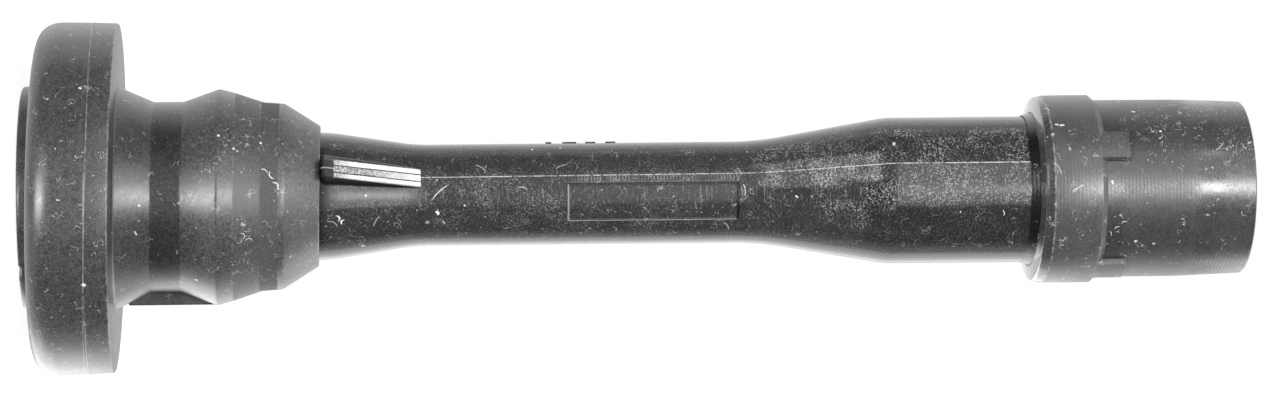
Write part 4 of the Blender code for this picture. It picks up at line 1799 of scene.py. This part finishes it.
@dataclass
class Studio:
    """Camera, lamps, white surroundings and floor, in metres and degrees.

    Ambient and gloss are how strongly the room lights matt and glossy surfaces: on the camera's side,
    behind the part, and what is added along the part's axis.
    """

    aim: Vector = field(default_factory=lambda: Vector((0.956, 0.0, 83.3)) * MM)
    eye: Vector = field(default_factory=lambda: Vector((0.956, -544.5, 42.35)) * MM)
    roll: float = 0.577
    lens: float = 112.5
    ambient: tuple[float, float, float] = (0.06, 0.5, 0.12)
    gloss: tuple[float, float, float] = (0.08, 1.0, 0.5)
    floor_size: float = 16.0
    floor_lift: float = 0.92
    floor_colour: float = 0.5
    floor_fade: Pair = (0.05, 0.4)
    sensor: float = 36.0
    horizon: Pair = (0.0, 0.35)
    pole: Pair = (0.6, 0.97)
    lamps: tuple[Lamp, ...] = (
        Lamp("front_broad", -13.0, 14.0, 1.33, 0.41, 1.05),
        Lamp("plug_side_strip", 0.0, 33.5, 0.18, 0.68, 12.5),
        Lamp("plug_side_broad", -25.0, 41.0, 0.40, 0.25, 2.2),
        Lamp("plug_side_small", -46.3, 24.7, 0.08, 0.08, 6.0),
        Lamp("plug_end", 0.0, 86.0, 0.6, 0.6, 1.3),
        Lamp("coil_side_strip", 0.0, -44.0, 0.19, 0.44, 15.0),
        Lamp("coil_side_broad", -16.0, -32.0, 0.50, 0.45, 1.5),
        Lamp("lower_back", 140.0, -12.0, 0.80, 0.95, 1.05),
        Lamp("lower_back_coil", 140.0, -24.0, 0.80, 0.56, 1.3),
        Lamp("lower_back_high", 137.0, 38.0, 0.80, 0.6, 1.4),
        Lamp("upper_back", -142.0, 0.0, 0.60, 0.9, 0.32),
    )

    def camera(self) -> None:
        """Sets the camera where the photograph was taken from."""
        data = bpy.data.cameras.new("camera")
        data.lens = self.lens
        data.sensor_width = self.sensor
        data.clip_start = 0.01
        data.clip_end = 100.0
        camera = bpy.data.objects.new("camera", data)
        bpy.context.scene.collection.objects.link(camera)
        back = (self.eye - self.aim).normalized()
        along = (Vector((0, 0, 1)) - back * back.z).normalized()
        tilt = math.radians(self.roll)
        right = along * math.cos(tilt) + Vector((1, 0, 0)) * math.sin(tilt)
        up = back.cross(right)
        place = Matrix((right, up, back)).transposed().to_4x4()
        place.translation = self.eye
        camera.matrix_world = place
        bpy.context.scene.camera = camera

    @staticmethod
    def background(nodes: Nodes, behind: Value, poles: Value, levels: Sequence[float]) -> bpy.types.Node:
        """One background of the room.

        Args:
            nodes: The world's nodes.
            behind: 1 on the far side of the part.
            poles: 1 straight along the part's axis, both ways.
            levels: Its strength on the camera's side, behind, and what the axis adds.

        Returns:
            The background.
        """
        front, back, axis = levels
        strength = behind * (back - front) + poles * axis + front
        return nodes.add("ShaderNodeBackground", None, {"Color": WHITE, "Strength": strength})

    def surroundings(self) -> None:
        """A white room: the camera sees it plain, and gloss and light find its camera side dim."""
        world = bpy.data.worlds.new("white_room")
        world.use_nodes = True
        bpy.context.scene.world = world
        nodes = Nodes(world.node_tree)
        coordinates = nodes.add("ShaderNodeTexCoord")
        way = nodes.add("ShaderNodeSeparateXYZ", None, {0: coordinates.outputs["Generated"]})
        behind = Value(nodes, way.outputs["Y"]).smooth(*self.horizon)
        poles = abs(Value(nodes, way.outputs["Z"])).smooth(*self.pole) * (1.0 - behind)
        light = self.background(nodes, behind, poles, self.ambient)
        gloss = self.background(nodes, behind, poles, self.gloss)
        paper = nodes.add("ShaderNodeBackground", None, {"Color": WHITE})
        lit = nodes.either(nodes.rays("Is Glossy Ray"), light, gloss)
        room = nodes.either(nodes.rays("Is Camera Ray", "Is Transmission Ray"), lit, paper)
        nodes.feed(nodes.tree.nodes["World Output"].inputs["Surface"], room.outputs[0])

    def floor(self) -> None:
        """The pale floor: it keeps the part's shadow near it and is plain white farther off."""
        Workpiece.clear_bench()
        bpy.ops.mesh.primitive_plane_add(size=self.floor_size, location=(0, 0, 0))
        floor = bpy.context.active_object
        floor.name = "floor"
        material = bpy.data.materials.new("pale_floor")
        material.use_nodes = True
        nodes = Nodes(material.node_tree)
        nodes.tree.nodes.remove(nodes.tree.nodes["Principled BSDF"])
        seen = nodes.rays("Is Camera Ray", "Is Glossy Ray", "Is Transmission Ray")
        matt = nodes.add("ShaderNodeBsdfDiffuse", None, {"Color": (*(self.floor_colour,) * 3, 1.0)})
        lift = nodes.add("ShaderNodeEmission", None, {"Strength": seen * self.floor_lift})
        both = nodes.add("ShaderNodeAddShader", None, {0: matt.outputs[0], 1: lift.outputs[0]})
        place = nodes.add("ShaderNodeTexCoord").outputs["Object"]
        reach = nodes.value("ShaderNodeVectorMath", {"operation": "LENGTH"}, {0: place}, "Value")
        paper = nodes.add("ShaderNodeEmission", None, {"Color": WHITE})
        cover = nodes.either(reach.smooth(*self.floor_fade) * seen, both, paper)
        nodes.feed(nodes.tree.nodes["Material Output"].inputs["Surface"], cover.outputs[0])
        floor.data.materials.append(material)
        floor.visible_shadow = False
        floor.visible_glossy = False

    def build(self) -> None:
        """Sets up the whole studio."""
        bpy.context.scene.view_settings.view_transform = "Standard"
        self.camera()
        self.surroundings()
        self.floor()
        for lamp in self.lamps:
            lamp.build(self.aim)


SEAL_RUBBER = MouldedRubber(
    name="seal_silicone",
    colour=0.051,
    roughness=0.34,
    flash_height=8.75,
    lean=SEAL_LEAN,
    mottle=1.0,
    patches=(
        Patch(24.0, 39.5, -65.0, -15.0, 0.3),
        Patch(26.0, 39.5, 10.0, 60.0, 0.42),
        Patch(1.0, 12.0, 35.0, 70.0, 0.4),
        Patch(9.5, 12.4, -75.0, 75.0, 0.1, 0.6),
    ),
    rings=(
        # Painted shade on the flange's underside.
        Ring(12.36, 12.7, 15.0, 23.5, tone=0.5),
        # Painted shade in the neck's groove.
        Ring(17.3, 21.3, 12.0, 13.6, tone=0.62),
        Ring(21.4, 26.1, 12.9, 14.8, tone=1.25, rougher=0.02),
        # Lighter ring past the peak: a painted highlight.
        Ring(26.1, 28.25, 13.9, 14.8, tone=1.2, rougher=0.02),
        Ring(28.25, 31.8, 12.8, 14.2, tone=1.02, rougher=0.18),
        Ring(31.8, 34.2, 12.3, 13.2, tone=0.92, rougher=0.36),
        Ring(28.2, 28.36, 13.8, 14.3, tone=2.0, amount=0.7, broken=True),
        Ring(34.2, 39.8, 8.8, 12.8, tone=1.35, rougher=0.05),
        Ring(39.55, 39.8, 8.8, 9.9, tone=3.2, amount=0.8, broken=True),
        Ring(12.2, 12.5, 23.3, 23.8, tone=2.8, amount=0.8, broken=True),
    ),
    marks=(
        Mark(32.6, -16.2, 13.0, 0.45, 0.07, 30.0, 0.2, 0.8),
        Mark(33.2, -12.4, 12.8, 0.5, 0.08, 62.0, -0.25, 0.9),
        Mark(34.1, -8.0, 12.7, 0.45, 0.08, 35.0, 0.2, 0.9),
        Mark(34.3, -5.4, 12.7, 0.35, 0.07, 80.0, 0.1, 0.7),
        Mark(26.5, -34.0, 14.5, 0.16, 0.15),
        Mark(32.0, -33.7, 13.6, 0.14, 0.16),
        Mark(28.5, -27.1, 14.1, 0.14, 0.14),
        Mark(16.0, 4.4, 14.0, 0.16, 0.16),
        Mark(15.5, 20.0, 14.0, 0.3, 0.1, 70.0),
        Mark(9.15, 28.3, 23.8, 0.24, 0.2, 40.0),
        Mark(8.8, -37.2, 23.8, 0.2, 0.13, 20.0),
        Mark(29.8, 22.0, 13.8, 0.5, 0.06, 70.0, 0.35, 0.7),
        Mark(30.4, 24.5, 13.8, 0.5, 0.06, 10.0, 0.35, 0.7),
        Mark(29.3, 26.0, 13.8, 0.4, 0.06, -40.0, -0.3, 0.6),
        Mark(23.2, 53.7, 13.6, 0.2, 0.18, 30.0),
    ),
    # Painted contact shadow where the ramp's nose meets the seal's end.
    stains_and_shadows=(Patch(39.2, 39.95, -28.5, -12.5, 0.9, 0.1, 2.0),),
)
BOOT_RUBBER = MouldedRubber(
    name="boot_silicone",
    colour=0.052,
    roughness=0.34,
    mottle=0.5,
    ring_pitch=0.5,
    patches=(
        Patch(150.0, 166.0, -80.0, -18.0, 0.8),
        Patch(138.4, 149.0, 8.0, 75.0, 0.4),
    ),
    rings=(
        # Painted shade: the lip's skirt, nearly black.
        Ring(135.4, 136.9, 10.0, 10.62, tone=0.1, rougher=-0.11),
        Ring(136.4, 138.3, 10.66, 12.62, tone=0.8, rougher=-0.2, coat=1.0),
        Ring(136.4, 138.3, 12.62, 12.9, tone=0.85, rougher=-0.1, coat=0.4),
        Ring(138.3, 138.56, 12.6, 13.2, tone=4.5, amount=0.9, broken=True),
        Ring(138.6, 149.0, 12.5, 13.2, tone=1.3),
        Ring(144.9, 145.6, 12.2, 12.84, tone=1.1, rougher=0.1),
        Ring(144.78, 144.92, 12.8, 12.92, tone=2.2, amount=0.7, broken=True),
        Ring(145.5, 145.66, 12.1, 12.34, tone=2.3, amount=0.9),
        # Darker body beside the collar's step: painted shade in the corner, with some dirt.
        Ring(145.0, 148.6, 11.0, 12.4, tone=0.66, soft=2.4),
        Ring(148.0, 157.0, 11.5, 12.5, tone=0.85, rougher=0.04, soft=1.0),
        Ring(158.2, 161.4, 11.5, 12.3, rougher=-0.13, soft=2.0),
        Ring(161.0, 166.3, 11.5, 12.3, rougher=-0.05, soft=2.0),
    ),
    marks=(
        Mark(138.95, -12.4, 12.9, 0.85, 0.06, 62.0, 0.25, 0.5),
        Mark(141.4, -0.4, 12.9, 0.8, 0.08, -32.0, 0.1, 0.5),
        Mark(139.2, -42.5, 12.9, 0.26, 0.13, 10.0),
        Mark(139.9, -42.0, 12.9, 0.3, 0.15, -10.0),
        Mark(138.4, -58.0, 12.9, 0.5, 0.07, 60.0, 0.1, 0.7),
        Mark(146.25, -3.8, 12.16, 0.24, 0.13, 80.0),
        Mark(150.3, -58.8, 12.16, 0.26, 0.14, 15.0),
        Mark(149.8, 36.3, 12.16, 0.2, 0.13, 0.0),
        Mark(147.0, 25.5, 12.16, 0.35, 0.06, -30.0, 0.1, 0.7),
        Mark(147.9, 22.0, 12.16, 0.35, 0.05, -20.0, 0.1, 0.7),
        Mark(146.3, 30.0, 12.16, 0.32, 0.05, 75.0, 0.1, 0.7),
        Mark(153.4, -39.0, 12.1, 0.16, 0.14),
        Mark(152.3, 38.5, 12.1, 0.18, 0.15, 0.0, 0.0, 0.6),
        Mark(140.9, 73.0, 12.9, 0.16, 0.16),
    ),
    stains_and_shadows=(Mark(153.9, 10.3, 12.1, 0.28, 0.24, 0.0, 0.0, 0.5),),
    tab_corner_shade=TabCornerShade(TAB_AZIMUTH, 360 / TAB_COUNT, 8.9, 145.8, TAB_HIGH, 12.15),
)


def main() -> None:
    """Builds the part's looks and its studio, in order."""
    logging.basicConfig(level=logging.INFO, format="%(message)s")
    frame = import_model()
    body = next(iter(frame["bodies"]))
    assemblies = (HousingTube(), CoilSeal(SEAL_RUBBER), PlugBoot(BOOT_RUBBER), ContactSpring())
    for assembly in assemblies:
        obj = assembly.build()
        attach(obj, body)
        log.info("%s: %d vertices", obj.name, len(obj.data.vertices))
    Studio().build()


if __name__ == "__main__":
    main()
